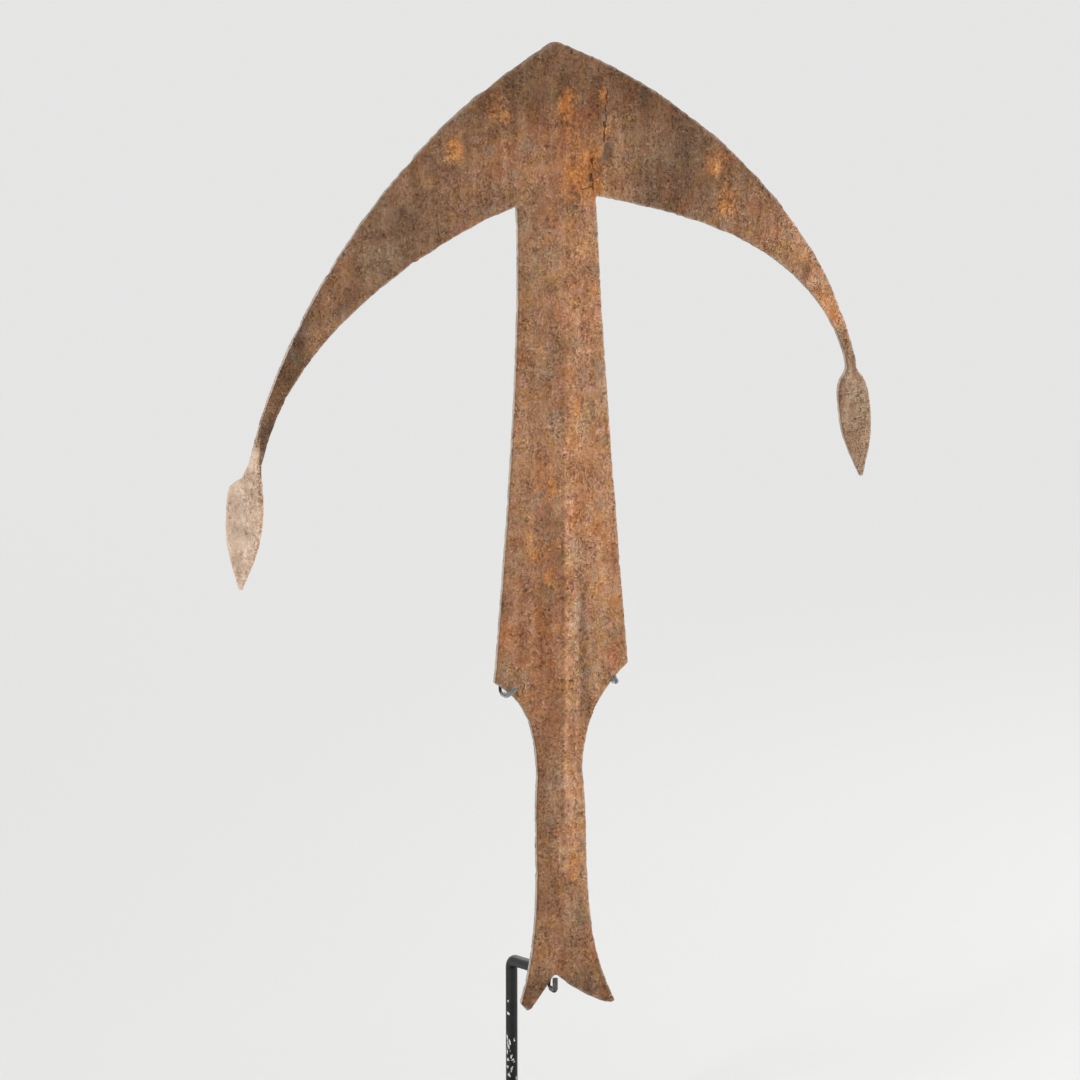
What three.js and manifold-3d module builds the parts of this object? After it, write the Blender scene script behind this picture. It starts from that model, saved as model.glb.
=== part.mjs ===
// A forged iron currency blade in the shape of an anchor, standing on a bent rod stand.
// Millimetres, +Z up, +X to the viewer's right, and the viewer looks along +Y.
// The origin is the middle of the felt's underside, where the stand rests on a table.
// Heights on the blade are counted from the tip of its longer fork leg.

import * as THREE from 'three';
import { mergeVertices } from 'three/addons/utils/BufferGeometryUtils.js';
import Module from 'manifold-3d';

const wasm = await Module();
wasm.setup();

// Clearance between pieces that touch
const SEAT_GAP = 0.3;

// Felt, base plate and the screw that holds the post
const FELT_THICK = 1.5;
const FELT_INSET = 2;
const BASE_WIDTH = 150;
const BASE_DEPTH = 120;
const BASE_THICK = 10;
const BASE_CORNER = 4;
const BASE_BEVEL = 1;
const POCKET_DEPTH = 4;
const SCREW_DIA = 3;
const SCREW_HEAD_DIA = 6;
const SCREW_HEAD_RECESS = 0.3;
const SCREW_REACH = 12;
const BORE_SPARE = 1;
const CUT_SPARE = 1;

// Post: a round rod that rises, steps forward to the fork and runs up behind the blade
const POST_DIA = 6.35;
const POST_BEND = 5.5;
const POST_BACK = 25;
const STUB_RISE_DEG = 11.3;
const STUB_BELOW_NOTCH = 1;
const POST_PAST_BAR = 6;

// Wire hooks and the clear sleeves on them
const WIRE_DIA = 1.6;
const WIRE_BEND = 1.9;
const SLEEVE_WALL = 0.35;
const SLEEVE_PAST_TIP = 0.4;
const SLEEVE_FROM_LEG = 2.4;
const HOOK_TIP_RISE = 3.3;
const BAR_ABOVE_SHOULDER = 12;
const FORK_HOOK_DROP = 7.8;
const FORK_HOOK_LEG = 14;
const FORK_HOOK_ASIDE = 2.9;
const FORK_TIP_RISE = 6.8;

// Blade
const BLADE_FRONT = -25;
const BLADE_FOOT = 100;
const BLADE_THICK = 3;
const BLADE_BEVEL = 0.5;
const BLADE_HEIGHT = 525.2;
const APEX_ACROSS = -1.5;
const APEX_ROUND = 6;
const APEX_ROUND_DROP = 2;
const ARM_ROOT = 82.2;

// The two sides differ, as hand forging leaves them. Distances out are from the middle line,
// drops are from the apex, and each handle is a step [out, up] from the end that it bends.
const LEFT = {
  side: -1,
  forkOut: 22.6,
  forkUp: 10.2,
  forkHandle: [-16, 47],
  gripOut: 12.5,
  gripHeight: 136,
  gripDownHandle: [3.5, -34],
  gripUpHandle: [1, 38],
  shoulderOut: 38,
  shoulderHeight: 192.3,
  shoulderHandle: [-12, -9.5],
  hookInset: 6,
  hookLean: 5,
  shaftTopOut: 24.5,
  shaftHandle: [-4, -70],
  armRootHandle: [40.7, -10.4],
  neckOut: 166.1,
  neckDrop: 185.2,
  neckInHandle: [-22.4, 62.1],
  neckAcross: 7.1,
  neckSlant: 1.5,
  neckOutHandle: [-11, 39.8],
  apexHandle: [102.9, -44],
};
const RIGHT = {
  side: 1,
  forkOut: 35.6,
  forkUp: 0,
  forkHandle: [-24, 50],
  gripOut: 15,
  gripHeight: 136,
  gripDownHandle: [6, -43],
  gripUpHandle: [0.5, 30],
  shoulderOut: 42.6,
  shoulderHeight: 189.8,
  shoulderHandle: [-12, -7.5],
  hookInset: 8.3,
  hookLean: 1.8,
  shaftTopOut: 22.1,
  shaftHandle: [5.5, -98],
  armRootHandle: [42.4, -13.4],
  neckOut: 175.4,
  neckDrop: 189.2,
  neckInHandle: [-23.5, 71],
  neckAcross: 6.4,
  neckSlant: 0,
  neckOutHandle: [-19.4, 73.3],
  apexHandle: [88.7, -41.4],
};

// Fork notch, with a blunt left leg and a curved, pointed right leg
const NOTCH_HEIGHT = 22.1;
const NOTCH_LEFT = -2.3;
const NOTCH_RIGHT = -0.8;
const LEG_TOE = [4, -5];
const LEG_HEEL = [6.2, -4.8];
const LEG_INSIDE = [14.7, 4.9];
const NOTCH_HANDLE = [4, -4.6];
const POINT_HANDLE = [-6, -4.3];

// Raised rib along each face: a step at the ridge line, a crest, then a slope back to the plate
const RIDGE_X = 2;
const RIB_WIDTH = 13;
const RIB_WIDTH_GRIP = 10;
const RIB_HEIGHT = 1.1;
const RIB_START = 40;
const RIB_END_DROP = 24.5;
const RIB_EMBED = 1;
const RIB_SINK = 0.2;
const RIB_SHARE_LEG = 0.5;
const RIB_SHARE_SHAFT = 0.8;
const RIB_SHARE_ROOT = 0.6;

// Necks: where each starts along the arm's two edges, and how soon it narrows and turns
const NECK_START_INNER = 0.96;
const NECK_START_OUTER = 0.945;
const NECK_NARROWEST = 0.6;
const NECK_THICK = 4.2;
const TURN_AT_ARM = 0.35;
const TURN_AT_NECK = 0.8;
const CORNER_CLIP = 0.28;

// Leaves at the arm ends. Each runs from its top to its tip and is turned about its own length.
const LEAF_THICK = 3.4;
const LEAF_THINNING = 0.5;
const LEAF_LENGTH = 57.5;
const LEAF_TIP_WIDTH = 2.2;
const LEAF_SHOULDER = 0.09;
const LEFT_LEAF = {
  neckWidth: 7,
  width: 20.6,
  topStep: [5.3, -17.3],
  tipOut: 4.4,
  set: [1.6, 2.4],
  turnDeg: 38,
  across: false,
};
const RIGHT_LEAF = {
  neckWidth: 6.6,
  width: 19.8,
  topStep: [0.8, -8.5],
  tipOut: 7.9,
  set: [-0.2, 0],
  turnDeg: -4,
  across: true,
};

// Sizes worked out from the ones above
const postRadius = POST_DIA / 2;
const wireRadius = WIRE_DIA / 2;
const sleeveBore = wireRadius + SEAT_GAP;
const sleeveRadius = sleeveBore + SLEEVE_WALL;
const baseBottom = FELT_THICK + SEAT_GAP;
const baseTop = baseBottom + BASE_THICK;
const bladeFoot = baseTop + BLADE_FOOT;
const bladeBack = BLADE_FRONT + BLADE_THICK;
const bladeMiddle = BLADE_FRONT + BLADE_THICK / 2;
const armRootHeight = BLADE_HEIGHT - ARM_ROOT;
const hookBackY = bladeBack + SEAT_GAP + Math.max(sleeveRadius, RIB_HEIGHT + wireRadius);
const hookFrontY = BLADE_FRONT - SEAT_GAP - sleeveRadius;
const postFrontY = hookBackY + wireRadius + SEAT_GAP + postRadius;
const stubHeight = bladeFoot + NOTCH_HEIGHT - STUB_BELOW_NOTCH;
const stubRise = Math.tan(THREE.MathUtils.degToRad(STUB_RISE_DEG));
const stubBackHeight = stubHeight - (POST_BACK - postFrontY) * stubRise;
const shoulderTop = Math.max(LEFT.shoulderHeight, RIGHT.shoulderHeight);
const barHeight = bladeFoot + shoulderTop + BAR_ABOVE_SHOULDER;
const postFoot = baseTop - POCKET_DEPTH + SEAT_GAP;
const screwHeadHeight = (SCREW_HEAD_DIA - SCREW_DIA) / 2;

// Sampling: how finely curves are cut into flats
const CURVE_STEPS = 14;
const POST_SIDES = 16;
const WIRE_SIDES = 10;
const BEND_STEPS = 6;
const SCREW_SIDES = 20;
const CROWN_STEPS = 4;
const CORNER_STEPS = 4;
const BEVEL_STEPS = 2;
const SEAT_STEPS = 200;
const SAME_PLACE = 1e-4;

// Colours as seen in the photograph
const looks = {
  iron: { color: 0x7d5a44, roughness: 0.85, metalness: 0.35 },
  paint: { color: 0x17181a, roughness: 0.4, metalness: 0.2 },
  vinyl: { color: 0x9aa09c, roughness: 0.25, metalness: 0 },
  steel: { color: 0x9c9ea1, roughness: 0.35, metalness: 0.9 },
  felt: { color: 0x1b1b1d, roughness: 1, metalness: 0 },
};

// Bare positions with shared corners, which is what a closed body needs.
function closedShape(geometry) {
  geometry.deleteAttribute('normal');
  geometry.deleteAttribute('uv');
  return mergeVertices(geometry, SAME_PLACE);
}

function toSolid(geometry) {
  const shape = closedShape(geometry);
  const vertProperties = new Float32Array(shape.attributes.position.array);
  const triVerts = new Uint32Array(shape.index.array);
  return new wasm.Manifold(new wasm.Mesh({ numProp: 3, vertProperties, triVerts }));
}

function fromSolid(solid) {
  const mesh = solid.getMesh();
  const geometry = new THREE.BufferGeometry();
  geometry.setAttribute('position', new THREE.BufferAttribute(new Float32Array(mesh.vertProperties), 3));
  geometry.setIndex(new THREE.BufferAttribute(new Uint32Array(mesh.triVerts), 1));
  return geometry;
}

function piece(name, geometry, look) {
  const shape = geometry.getAttribute('uv') ? closedShape(geometry) : geometry;
  shape.computeVertexNormals();
  const mesh = new THREE.Mesh(shape, new THREE.MeshStandardMaterial(look));
  mesh.name = name;
  return mesh;
}

// A rod's middle line: straight runs joined by round bends, with samples only where it turns.
class RodLine extends THREE.Curve {
  constructor(corners, bendRadius) {
    super();
    this.stations = [corners[0]];
    for (let i = 1; i < corners.length - 1; i++) {
      this.stations.push(...bendAt(corners[i - 1], corners[i], corners[i + 1], bendRadius));
    }
    this.stations.push(corners[corners.length - 1]);
    this.steps = this.stations.length - 1;
  }

  getPoint(t, target = new THREE.Vector3()) {
    const place = Math.min(t * this.steps, this.steps);
    const from = Math.min(Math.floor(place), this.steps - 1);
    return target.copy(this.stations[from]).lerp(this.stations[from + 1], place - from);
  }

  getPointAt(u, target) {
    return this.getPoint(u, target);
  }

  getTangentAt(u, target = new THREE.Vector3()) {
    const at = Math.round(u * this.steps);
    const before = this.stations[Math.max(at - 1, 0)];
    const here = this.stations[at];
    const after = this.stations[Math.min(at + 1, this.steps)];
    const arriving = here.clone().sub(before).normalize();
    const leaving = after.clone().sub(here).normalize();
    return target.copy(arriving).add(leaving).normalize();
  }
}

function bendAt(before, corner, after, radius) {
  const back = before.clone().sub(corner).normalize();
  const on = after.clone().sub(corner).normalize();
  const halfAngle = back.angleTo(on) / 2;
  const reach = radius / Math.tan(halfAngle);
  const centre = back.clone().add(on).normalize().multiplyScalar(radius / Math.sin(halfAngle)).add(corner);
  const start = corner.clone().addScaledVector(back, reach).sub(centre);
  const end = corner.clone().addScaledVector(on, reach).sub(centre);
  const sweep = start.angleTo(end);
  const points = [];
  for (let i = 0; i <= BEND_STEPS; i++) {
    const part = i / BEND_STEPS;
    const fromStart = Math.sin((1 - part) * sweep) / Math.sin(sweep);
    const fromEnd = Math.sin(part * sweep) / Math.sin(sweep);
    points.push(start.clone().multiplyScalar(fromStart).addScaledVector(end, fromEnd).add(centre));
  }
  return points;
}

function circle(radius) {
  return new THREE.Shape().absarc(0, 0, radius, 0, 2 * Math.PI, false);
}

function bentRod(corners, radius, bendRadius, sides, bore = 0) {
  const section = circle(radius);
  if (bore > 0) {
    section.holes.push(circle(bore));
  }
  const line = new RodLine(corners, bendRadius);
  return new THREE.ExtrudeGeometry(section, { steps: line.steps, curveSegments: sides, extrudePath: line });
}

// Skin a pile of rings, lowest first, each turning left as seen from above, and close both ends.
function loft(rings) {
  const count = rings[0].length;
  const index = [];
  for (let level = 0; level < rings.length - 1; level++) {
    for (let i = 0; i < count; i++) {
      const here = level * count + i;
      const next = level * count + (i + 1) % count;
      index.push(here, next, next + count, here, next + count, here + count);
    }
  }
  const top = (rings.length - 1) * count;
  for (let i = 1; i < count - 1; i++) {
    index.push(0, i + 1, i, top, top + i, top + i + 1);
  }
  const geometry = new THREE.BufferGeometry();
  const positions = rings.flat().flatMap((p) => p.toArray());
  geometry.setAttribute('position', new THREE.Float32BufferAttribute(positions, 3));
  geometry.setIndex(index);
  return geometry;
}

// Blade outline: each side's edges as curves in the plane of the plate, [x, height]
function point(out, up) {
  return new THREE.Vector2(out, up);
}

function curveBetween(from, fromHandle, to, toHandle, side) {
  const leave = point(from.x + side * fromHandle[0], from.y + fromHandle[1]);
  const arrive = point(to.x + side * toHandle[0], to.y + toHandle[1]);
  return new THREE.CubicBezierCurve(from, leave, arrive, to);
}

function edgesOf(half) {
  const out = (distance, height) => point(half.side * distance, height);
  const fork = out(half.forkOut, half.forkUp);
  const grip = out(half.gripOut, half.gripHeight);
  const shoulder = out(half.shoulderOut, half.shoulderHeight);
  const root = out(half.shaftTopOut, armRootHeight);
  const neckIn = out(half.neckOut, BLADE_HEIGHT - half.neckDrop);
  const neckOut = out(half.neckOut + half.neckAcross, BLADE_HEIGHT - half.neckDrop + half.neckSlant);
  const crown = point(APEX_ACROSS + half.side * APEX_ROUND, BLADE_HEIGHT - APEX_ROUND_DROP);
  const shaftBend = point(root.x + half.side * half.shaftHandle[0], root.y + half.shaftHandle[1]);
  return {
    grip: curveBetween(fork, half.forkHandle, grip, half.gripDownHandle, half.side),
    flare: curveBetween(grip, half.gripUpHandle, shoulder, half.shoulderHandle, half.side),
    shaft: new THREE.QuadraticBezierCurve(shoulder, shaftBend, root),
    inner: curveBetween(root, half.armRootHandle, neckIn, half.neckInHandle, half.side),
    outer: curveBetween(crown, half.apexHandle, neckOut, half.neckOutHandle, half.side),
    neckIn,
    neckOut,
  };
}

const leftEdges = edgesOf(LEFT);
const rightEdges = edgesOf(RIGHT);

function plateOutline() {
  const forward = (curve) => curve.getPoints(CURVE_STEPS);
  const backward = (curve) => forward(curve).reverse();
  const apexBend = point(APEX_ACROSS, BLADE_HEIGHT + APEX_ROUND_DROP);
  const crown = new THREE.QuadraticBezierCurve(rightEdges.outer.v0, apexBend, leftEdges.outer.v0);
  const legTip = leftEdges.grip.v0;
  const notchLeft = point(NOTCH_LEFT, NOTCH_HEIGHT);
  const notchRight = point(NOTCH_RIGHT, NOTCH_HEIGHT);
  const inPoint = rightEdges.grip.v0;
  const path = [
    ...forward(rightEdges.grip),
    ...forward(rightEdges.flare),
    ...forward(rightEdges.shaft),
    ...forward(rightEdges.inner),
    ...backward(rightEdges.outer),
    ...crown.getPoints(CROWN_STEPS),
    ...forward(leftEdges.outer),
    ...backward(leftEdges.inner),
    ...backward(leftEdges.shaft),
    ...backward(leftEdges.flare),
    ...backward(leftEdges.grip),
    point(legTip.x + LEG_TOE[0], legTip.y + LEG_TOE[1]),
    point(legTip.x + LEG_HEEL[0], legTip.y + LEG_HEEL[1]),
    point(legTip.x + LEG_INSIDE[0], legTip.y + LEG_INSIDE[1]),
    notchLeft,
    ...forward(curveBetween(notchRight, NOTCH_HANDLE, inPoint, POINT_HANDLE, 1)),
  ];
  return path.filter((here, i) => here.distanceTo(path[(i + 1) % path.length]) > SAME_PLACE);
}

function plateSolid() {
  const plate = new THREE.ExtrudeGeometry(new THREE.Shape(plateOutline()), {
    depth: BLADE_THICK - 2 * BLADE_BEVEL,
    bevelThickness: BLADE_BEVEL,
    bevelSize: BLADE_BEVEL,
    bevelOffset: -BLADE_BEVEL,
    bevelSegments: 1,
  });
  plate.rotateX(Math.PI / 2);
  plate.translate(0, bladeBack - BLADE_BEVEL, bladeFoot);
  return toSolid(plate);
}

// One section of the front rib: [share of the width, share of the height]
const RIB_SECTION = [[0.03, 0.55], [0.3, 0.85], [0.6, 1], [0.8, 0.5]];

function ribRing(height, width, rise) {
  const proud = (share) => BLADE_FRONT + RIB_SINK - (rise + RIB_SINK) * share;
  const z = bladeFoot + height;
  const along = (share) => RIDGE_X + width * share;
  const front = RIB_SECTION.map(([across, up]) => new THREE.Vector3(along(across), proud(up), z));
  const inside = BLADE_FRONT + RIB_EMBED;
  return [
    new THREE.Vector3(RIDGE_X, inside, z),
    ...front,
    new THREE.Vector3(RIDGE_X + width, BLADE_FRONT + RIB_SINK, z),
    new THREE.Vector3(RIDGE_X + width, inside, z),
  ];
}

function ribGeometry() {
  const shoulder = RIGHT.shoulderHeight;
  return loft([
    ribRing(RIB_START, RIB_WIDTH_GRIP, -RIB_SINK),
    ribRing(RIGHT.gripHeight / 2, RIB_WIDTH_GRIP, RIB_HEIGHT * RIB_SHARE_LEG),
    ribRing(RIGHT.gripHeight, RIB_WIDTH_GRIP, RIB_HEIGHT * RIB_SHARE_SHAFT),
    ribRing(shoulder, RIB_WIDTH, RIB_HEIGHT),
    ribRing((shoulder + armRootHeight) / 2, RIB_WIDTH, RIB_HEIGHT * RIB_SHARE_SHAFT),
    ribRing(armRootHeight, RIB_WIDTH, RIB_HEIGHT * RIB_SHARE_ROOT),
    ribRing(BLADE_HEIGHT - RIB_END_DROP, RIB_WIDTH, -RIB_SINK),
  ]);
}

function ribSolids() {
  const behind = ribGeometry();
  behind.translate(-RIDGE_X, -bladeMiddle, 0);
  behind.rotateZ(Math.PI);
  behind.translate(RIDGE_X, bladeMiddle, 0);
  return [toSolid(ribGeometry()), toSolid(behind)];
}

// A section with clipped corners, wide along its own first axis, turned about the vertical
function clippedRing(centre, wide, deep, turnDeg) {
  const clip = Math.min(wide, deep) * CORNER_CLIP;
  const halfWide = wide / 2;
  const halfDeep = deep / 2;
  const corners = [
    [halfWide, -halfDeep + clip], [halfWide, halfDeep - clip],
    [halfWide - clip, halfDeep], [-halfWide + clip, halfDeep],
    [-halfWide, halfDeep - clip], [-halfWide, -halfDeep + clip],
    [-halfWide + clip, -halfDeep], [halfWide - clip, -halfDeep],
  ];
  const turn = THREE.MathUtils.degToRad(turnDeg);
  const up = new THREE.Vector3(0, 0, 1);
  return corners.map(([x, y]) => new THREE.Vector3(x, y, 0).applyAxisAngle(up, turn).add(centre));
}

// Leaf outline: [share of the length from the top, share of the width]
const LEAF_OUTLINE = [
  [0, 0.52], [0.04, 0.73], [LEAF_SHOULDER, 0.87], [0.17, 0.96], [0.3, 1],
  [0.45, 0.98], [0.6, 0.87], [0.76, 0.62], [0.92, 0.28],
];

// Arm end: the plate's last stretch, the squared neck and the leaf
function armEndSolid(half, edges, leaf) {
  const inner = edges.inner.getPoint(NECK_START_INNER);
  const outer = edges.outer.getPoint(NECK_START_OUTER);
  const place = (flat, setBack = 0) => new THREE.Vector3(flat.x, bladeMiddle + setBack, bladeFoot + flat.y);
  const middle = (a, b) => a.clone().add(b).multiplyScalar(0.5);
  const armEnd = middle(edges.neckIn, edges.neckOut);
  const leafTop = point(armEnd.x + half.side * leaf.topStep[0], armEnd.y + leaf.topStep[1]);
  const neck = armEnd.clone().lerp(leafTop, NECK_NARROWEST);
  const armWidth = inner.distanceTo(outer) - 2 * BLADE_BEVEL;
  const neckSizes = leaf.across ? [leaf.neckWidth, NECK_THICK] : [NECK_THICK, leaf.neckWidth];
  const endWidth = edges.neckIn.distanceTo(edges.neckOut) + 2 * BLADE_BEVEL;
  const endSizes = [endWidth, (BLADE_THICK + neckSizes[1]) / 2];
  const rings = [
    clippedRing(place(middle(inner, outer)), armWidth, BLADE_THICK - BLADE_BEVEL, 0),
    clippedRing(place(armEnd), ...endSizes, leaf.turnDeg * TURN_AT_ARM),
    clippedRing(place(neck), ...neckSizes, leaf.turnDeg * TURN_AT_NECK),
  ];
  for (const [along, share] of [...LEAF_OUTLINE, [1, LEAF_TIP_WIDTH / leaf.width]]) {
    const spread = Math.min(along / LEAF_SHOULDER, 1);
    const centre = place(leafTop, leaf.set[1] * spread);
    centre.x += half.side * (leaf.tipOut * along + leaf.set[0] * spread);
    centre.z -= LEAF_LENGTH * along;
    const thick = LEAF_THICK * (1 - LEAF_THINNING * along);
    const sizes = leaf.across ? [leaf.width * share, thick] : [thick, leaf.width * share];
    rings.push(clippedRing(centre, ...sizes, leaf.turnDeg));
  }
  return toSolid(loft(rings.reverse()));
}

function bladeGeometry() {
  const ends = [
    armEndSolid(LEFT, leftEdges, LEFT_LEAF),
    armEndSolid(RIGHT, rightEdges, RIGHT_LEAF),
  ];
  let solid = plateSolid();
  for (const part of [...ribSolids(), ...ends]) {
    solid = solid.add(part);
  }
  return fromSolid(solid);
}

// Post
function postGeometry() {
  const at = (y, z) => new THREE.Vector3(0, y, z);
  const corners = [
    at(POST_BACK, postFoot),
    at(POST_BACK, stubBackHeight),
    at(postFrontY, stubHeight),
    at(postFrontY, barHeight + POST_PAST_BAR),
  ];
  const rod = toSolid(bentRod(corners, postRadius, POST_BEND, POST_SIDES));
  const boreDepth = SCREW_REACH + BORE_SPARE;
  const bore = new THREE.CylinderGeometry(
    SCREW_DIA / 2 + SEAT_GAP, SCREW_DIA / 2 + SEAT_GAP, 2 * boreDepth, SCREW_SIDES);
  bore.rotateX(Math.PI / 2);
  bore.translate(0, POST_BACK, postFoot);
  return fromSolid(rod.subtract(toSolid(bore)));
}

// Height and slope of a flare under a given distance out
function seatOn(curve, x) {
  const points = curve.getPoints(SEAT_STEPS);
  const after = points.findIndex((p) => Math.abs(p.x) >= Math.abs(x));
  const low = points[after - 1];
  const high = points[after];
  const part = (x - low.x) / (high.x - low.x);
  const slope = Math.atan2(high.y - low.y, Math.abs(high.x - low.x));
  return { height: low.y + part * (high.y - low.y), slope };
}

// One shoulder hook, from the bar down behind the blade, under its edge and up in front
function hookCorners(half, edges) {
  const x = half.side * (half.shoulderOut - half.hookInset);
  const seat = seatOn(edges.flare, x);
  const runHeight = bladeFoot + seat.height - (sleeveRadius + SEAT_GAP) / Math.cos(seat.slope);
  return {
    barEnd: new THREE.Vector3(x, hookBackY, barHeight),
    back: new THREE.Vector3(x, hookBackY, runHeight),
    front: new THREE.Vector3(x, hookFrontY, runHeight),
    tip: new THREE.Vector3(x - half.side * half.hookLean, hookFrontY, runHeight + HOOK_TIP_RISE),
  };
}

function forkHookCorners() {
  const runHeight = bladeFoot + NOTCH_HEIGHT - FORK_HOOK_DROP;
  return {
    legTop: new THREE.Vector3(0, hookBackY, stubHeight + FORK_HOOK_LEG),
    back: new THREE.Vector3(-FORK_HOOK_ASIDE, hookBackY, runHeight),
    front: new THREE.Vector3(-FORK_HOOK_ASIDE, hookFrontY, runHeight),
    tip: new THREE.Vector3(-FORK_HOOK_ASIDE, hookFrontY, runHeight + FORK_TIP_RISE),
  };
}

// A point a set distance from one place towards another
function towards(from, to, distance) {
  return from.clone().addScaledVector(to.clone().sub(from).normalize(), distance);
}

// A sleeve starts behind the blade, a little past the leg, and ends just past the hook's tip
function sleeveGeometry(hook) {
  const start = towards(hook.back, hook.front, SLEEVE_FROM_LEG);
  const length = hook.front.distanceTo(hook.tip) + SLEEVE_PAST_TIP;
  const end = towards(hook.front, hook.tip, length);
  return bentRod([start, hook.front, end], sleeveRadius, WIRE_BEND, WIRE_SIDES, sleeveBore);
}

// Base plate with a pocket for the post and a countersunk hole for its screw
function roundedRectangle(width, depth, radius) {
  const x = width / 2 - radius;
  const y = depth / 2 - radius;
  const shape = new THREE.Shape();
  shape.absarc(x, y, radius, 0, Math.PI / 2, false);
  shape.absarc(-x, y, radius, Math.PI / 2, Math.PI, false);
  shape.absarc(-x, -y, radius, Math.PI, 1.5 * Math.PI, false);
  shape.absarc(x, -y, radius, 1.5 * Math.PI, 2 * Math.PI, false);
  return shape;
}

function turned(profile, sides) {
  const lathe = new THREE.LatheGeometry(profile.map(([r, z]) => new THREE.Vector2(r, z)), sides);
  lathe.rotateX(Math.PI / 2);
  return lathe;
}

function basePlateGeometry() {
  const plate = new THREE.ExtrudeGeometry(roundedRectangle(BASE_WIDTH, BASE_DEPTH, BASE_CORNER), {
    depth: BASE_THICK - 2 * BASE_BEVEL,
    bevelThickness: BASE_BEVEL,
    bevelSize: BASE_BEVEL,
    bevelOffset: -BASE_BEVEL,
    bevelSegments: BEVEL_STEPS,
    curveSegments: CORNER_STEPS,
  });
  plate.translate(0, 0, baseBottom + BASE_BEVEL);
  const pocketRadius = postRadius + SEAT_GAP;
  const holeRadius = SCREW_DIA / 2 + SEAT_GAP;
  const sinkRadius = SCREW_HEAD_DIA / 2 + SEAT_GAP;
  const floor = baseTop - POCKET_DEPTH;
  const sinkTop = baseBottom + SCREW_HEAD_RECESS + screwHeadHeight;
  const cut = turned([
    [0, baseBottom - CUT_SPARE],
    [sinkRadius, baseBottom - CUT_SPARE],
    [sinkRadius, baseBottom + SCREW_HEAD_RECESS],
    [holeRadius, sinkTop],
    [holeRadius, floor],
    [pocketRadius, floor],
    [pocketRadius, baseTop + CUT_SPARE],
    [0, baseTop + CUT_SPARE],
  ], SCREW_SIDES);
  cut.translate(0, POST_BACK, 0);
  return fromSolid(toSolid(plate).subtract(toSolid(cut)));
}

function screwGeometry() {
  const bottom = baseBottom + SCREW_HEAD_RECESS;
  const screw = turned([
    [0, bottom],
    [SCREW_HEAD_DIA / 2, bottom],
    [SCREW_DIA / 2, bottom + screwHeadHeight],
    [SCREW_DIA / 2, postFoot + SCREW_REACH],
    [0, postFoot + SCREW_REACH],
  ], SCREW_SIDES);
  screw.translate(0, POST_BACK, 0);
  return screw;
}

function feltGeometry() {
  const outline = roundedRectangle(BASE_WIDTH - 2 * FELT_INSET, BASE_DEPTH - 2 * FELT_INSET, BASE_CORNER);
  return new THREE.ExtrudeGeometry(outline, {
    depth: FELT_THICK,
    bevelEnabled: false,
    curveSegments: CORNER_STEPS,
  });
}

// Assembly
const leftHook = hookCorners(LEFT, leftEdges);
const rightHook = hookCorners(RIGHT, rightEdges);
const forkHook = forkHookCorners();

const barLine = [
  leftHook.tip, leftHook.front, leftHook.back, leftHook.barEnd,
  rightHook.barEnd, rightHook.back, rightHook.front, rightHook.tip,
];
const forkLine = [forkHook.legTop, forkHook.back, forkHook.front, forkHook.tip];

const stand = new THREE.Group();
stand.add(
  piece('base_felt', feltGeometry(), looks.felt),
  piece('base_plate', basePlateGeometry(), looks.paint),
  piece('post_screw', screwGeometry(), looks.steel),
  piece('post', postGeometry(), looks.paint),
  piece('hook_bar', bentRod(barLine, wireRadius, WIRE_BEND, WIRE_SIDES), looks.paint),
  piece('fork_hook', bentRod(forkLine, wireRadius, WIRE_BEND, WIRE_SIDES), looks.paint),
  piece('left_hook_sleeve', sleeveGeometry(leftHook), looks.vinyl),
  piece('right_hook_sleeve', sleeveGeometry(rightHook), looks.vinyl),
  piece('fork_hook_sleeve', sleeveGeometry(forkHook), looks.vinyl),
);

const currencyBlade = new THREE.Group();
currencyBlade.add(stand, piece('blade', bladeGeometry(), looks.iron));

export default currencyBlade;
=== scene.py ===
import math

import bmesh
import bpy
import numpy as np
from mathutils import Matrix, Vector, kdtree


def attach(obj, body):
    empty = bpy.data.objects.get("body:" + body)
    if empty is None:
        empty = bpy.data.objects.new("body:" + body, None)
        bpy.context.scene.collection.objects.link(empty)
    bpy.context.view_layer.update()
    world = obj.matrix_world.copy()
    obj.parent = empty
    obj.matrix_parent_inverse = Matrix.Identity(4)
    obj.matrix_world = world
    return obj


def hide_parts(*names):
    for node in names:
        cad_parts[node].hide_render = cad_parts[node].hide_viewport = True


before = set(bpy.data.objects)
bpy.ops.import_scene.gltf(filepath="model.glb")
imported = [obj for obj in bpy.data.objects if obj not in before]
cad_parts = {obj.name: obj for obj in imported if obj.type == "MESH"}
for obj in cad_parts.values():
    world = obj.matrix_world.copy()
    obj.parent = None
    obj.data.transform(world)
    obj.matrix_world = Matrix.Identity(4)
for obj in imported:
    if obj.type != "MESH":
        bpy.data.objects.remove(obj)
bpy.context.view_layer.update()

# Lengths below are in millimetres unless a name says otherwise, and become metres with MM.
MM = 0.001

# The camera stands where the photograph was taken from.
CAMERA_TARGET = (-11.17, -25.0, 377.79)
CAMERA_AZIMUTH = -30.0
CAMERA_ELEVATION = 17.7
CAMERA_DISTANCE = 2500.0
CAMERA_LENS = 162.26
SENSOR = 36.0
NEAR_CLIP_METRES = 0.05
FAR_CLIP_METRES = 60.0

# Blade
FRONT = -25.0
RIDGE_X = 2.0
BLADE_VOXEL = 0.6
WELD_REACH = 0.001

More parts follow.
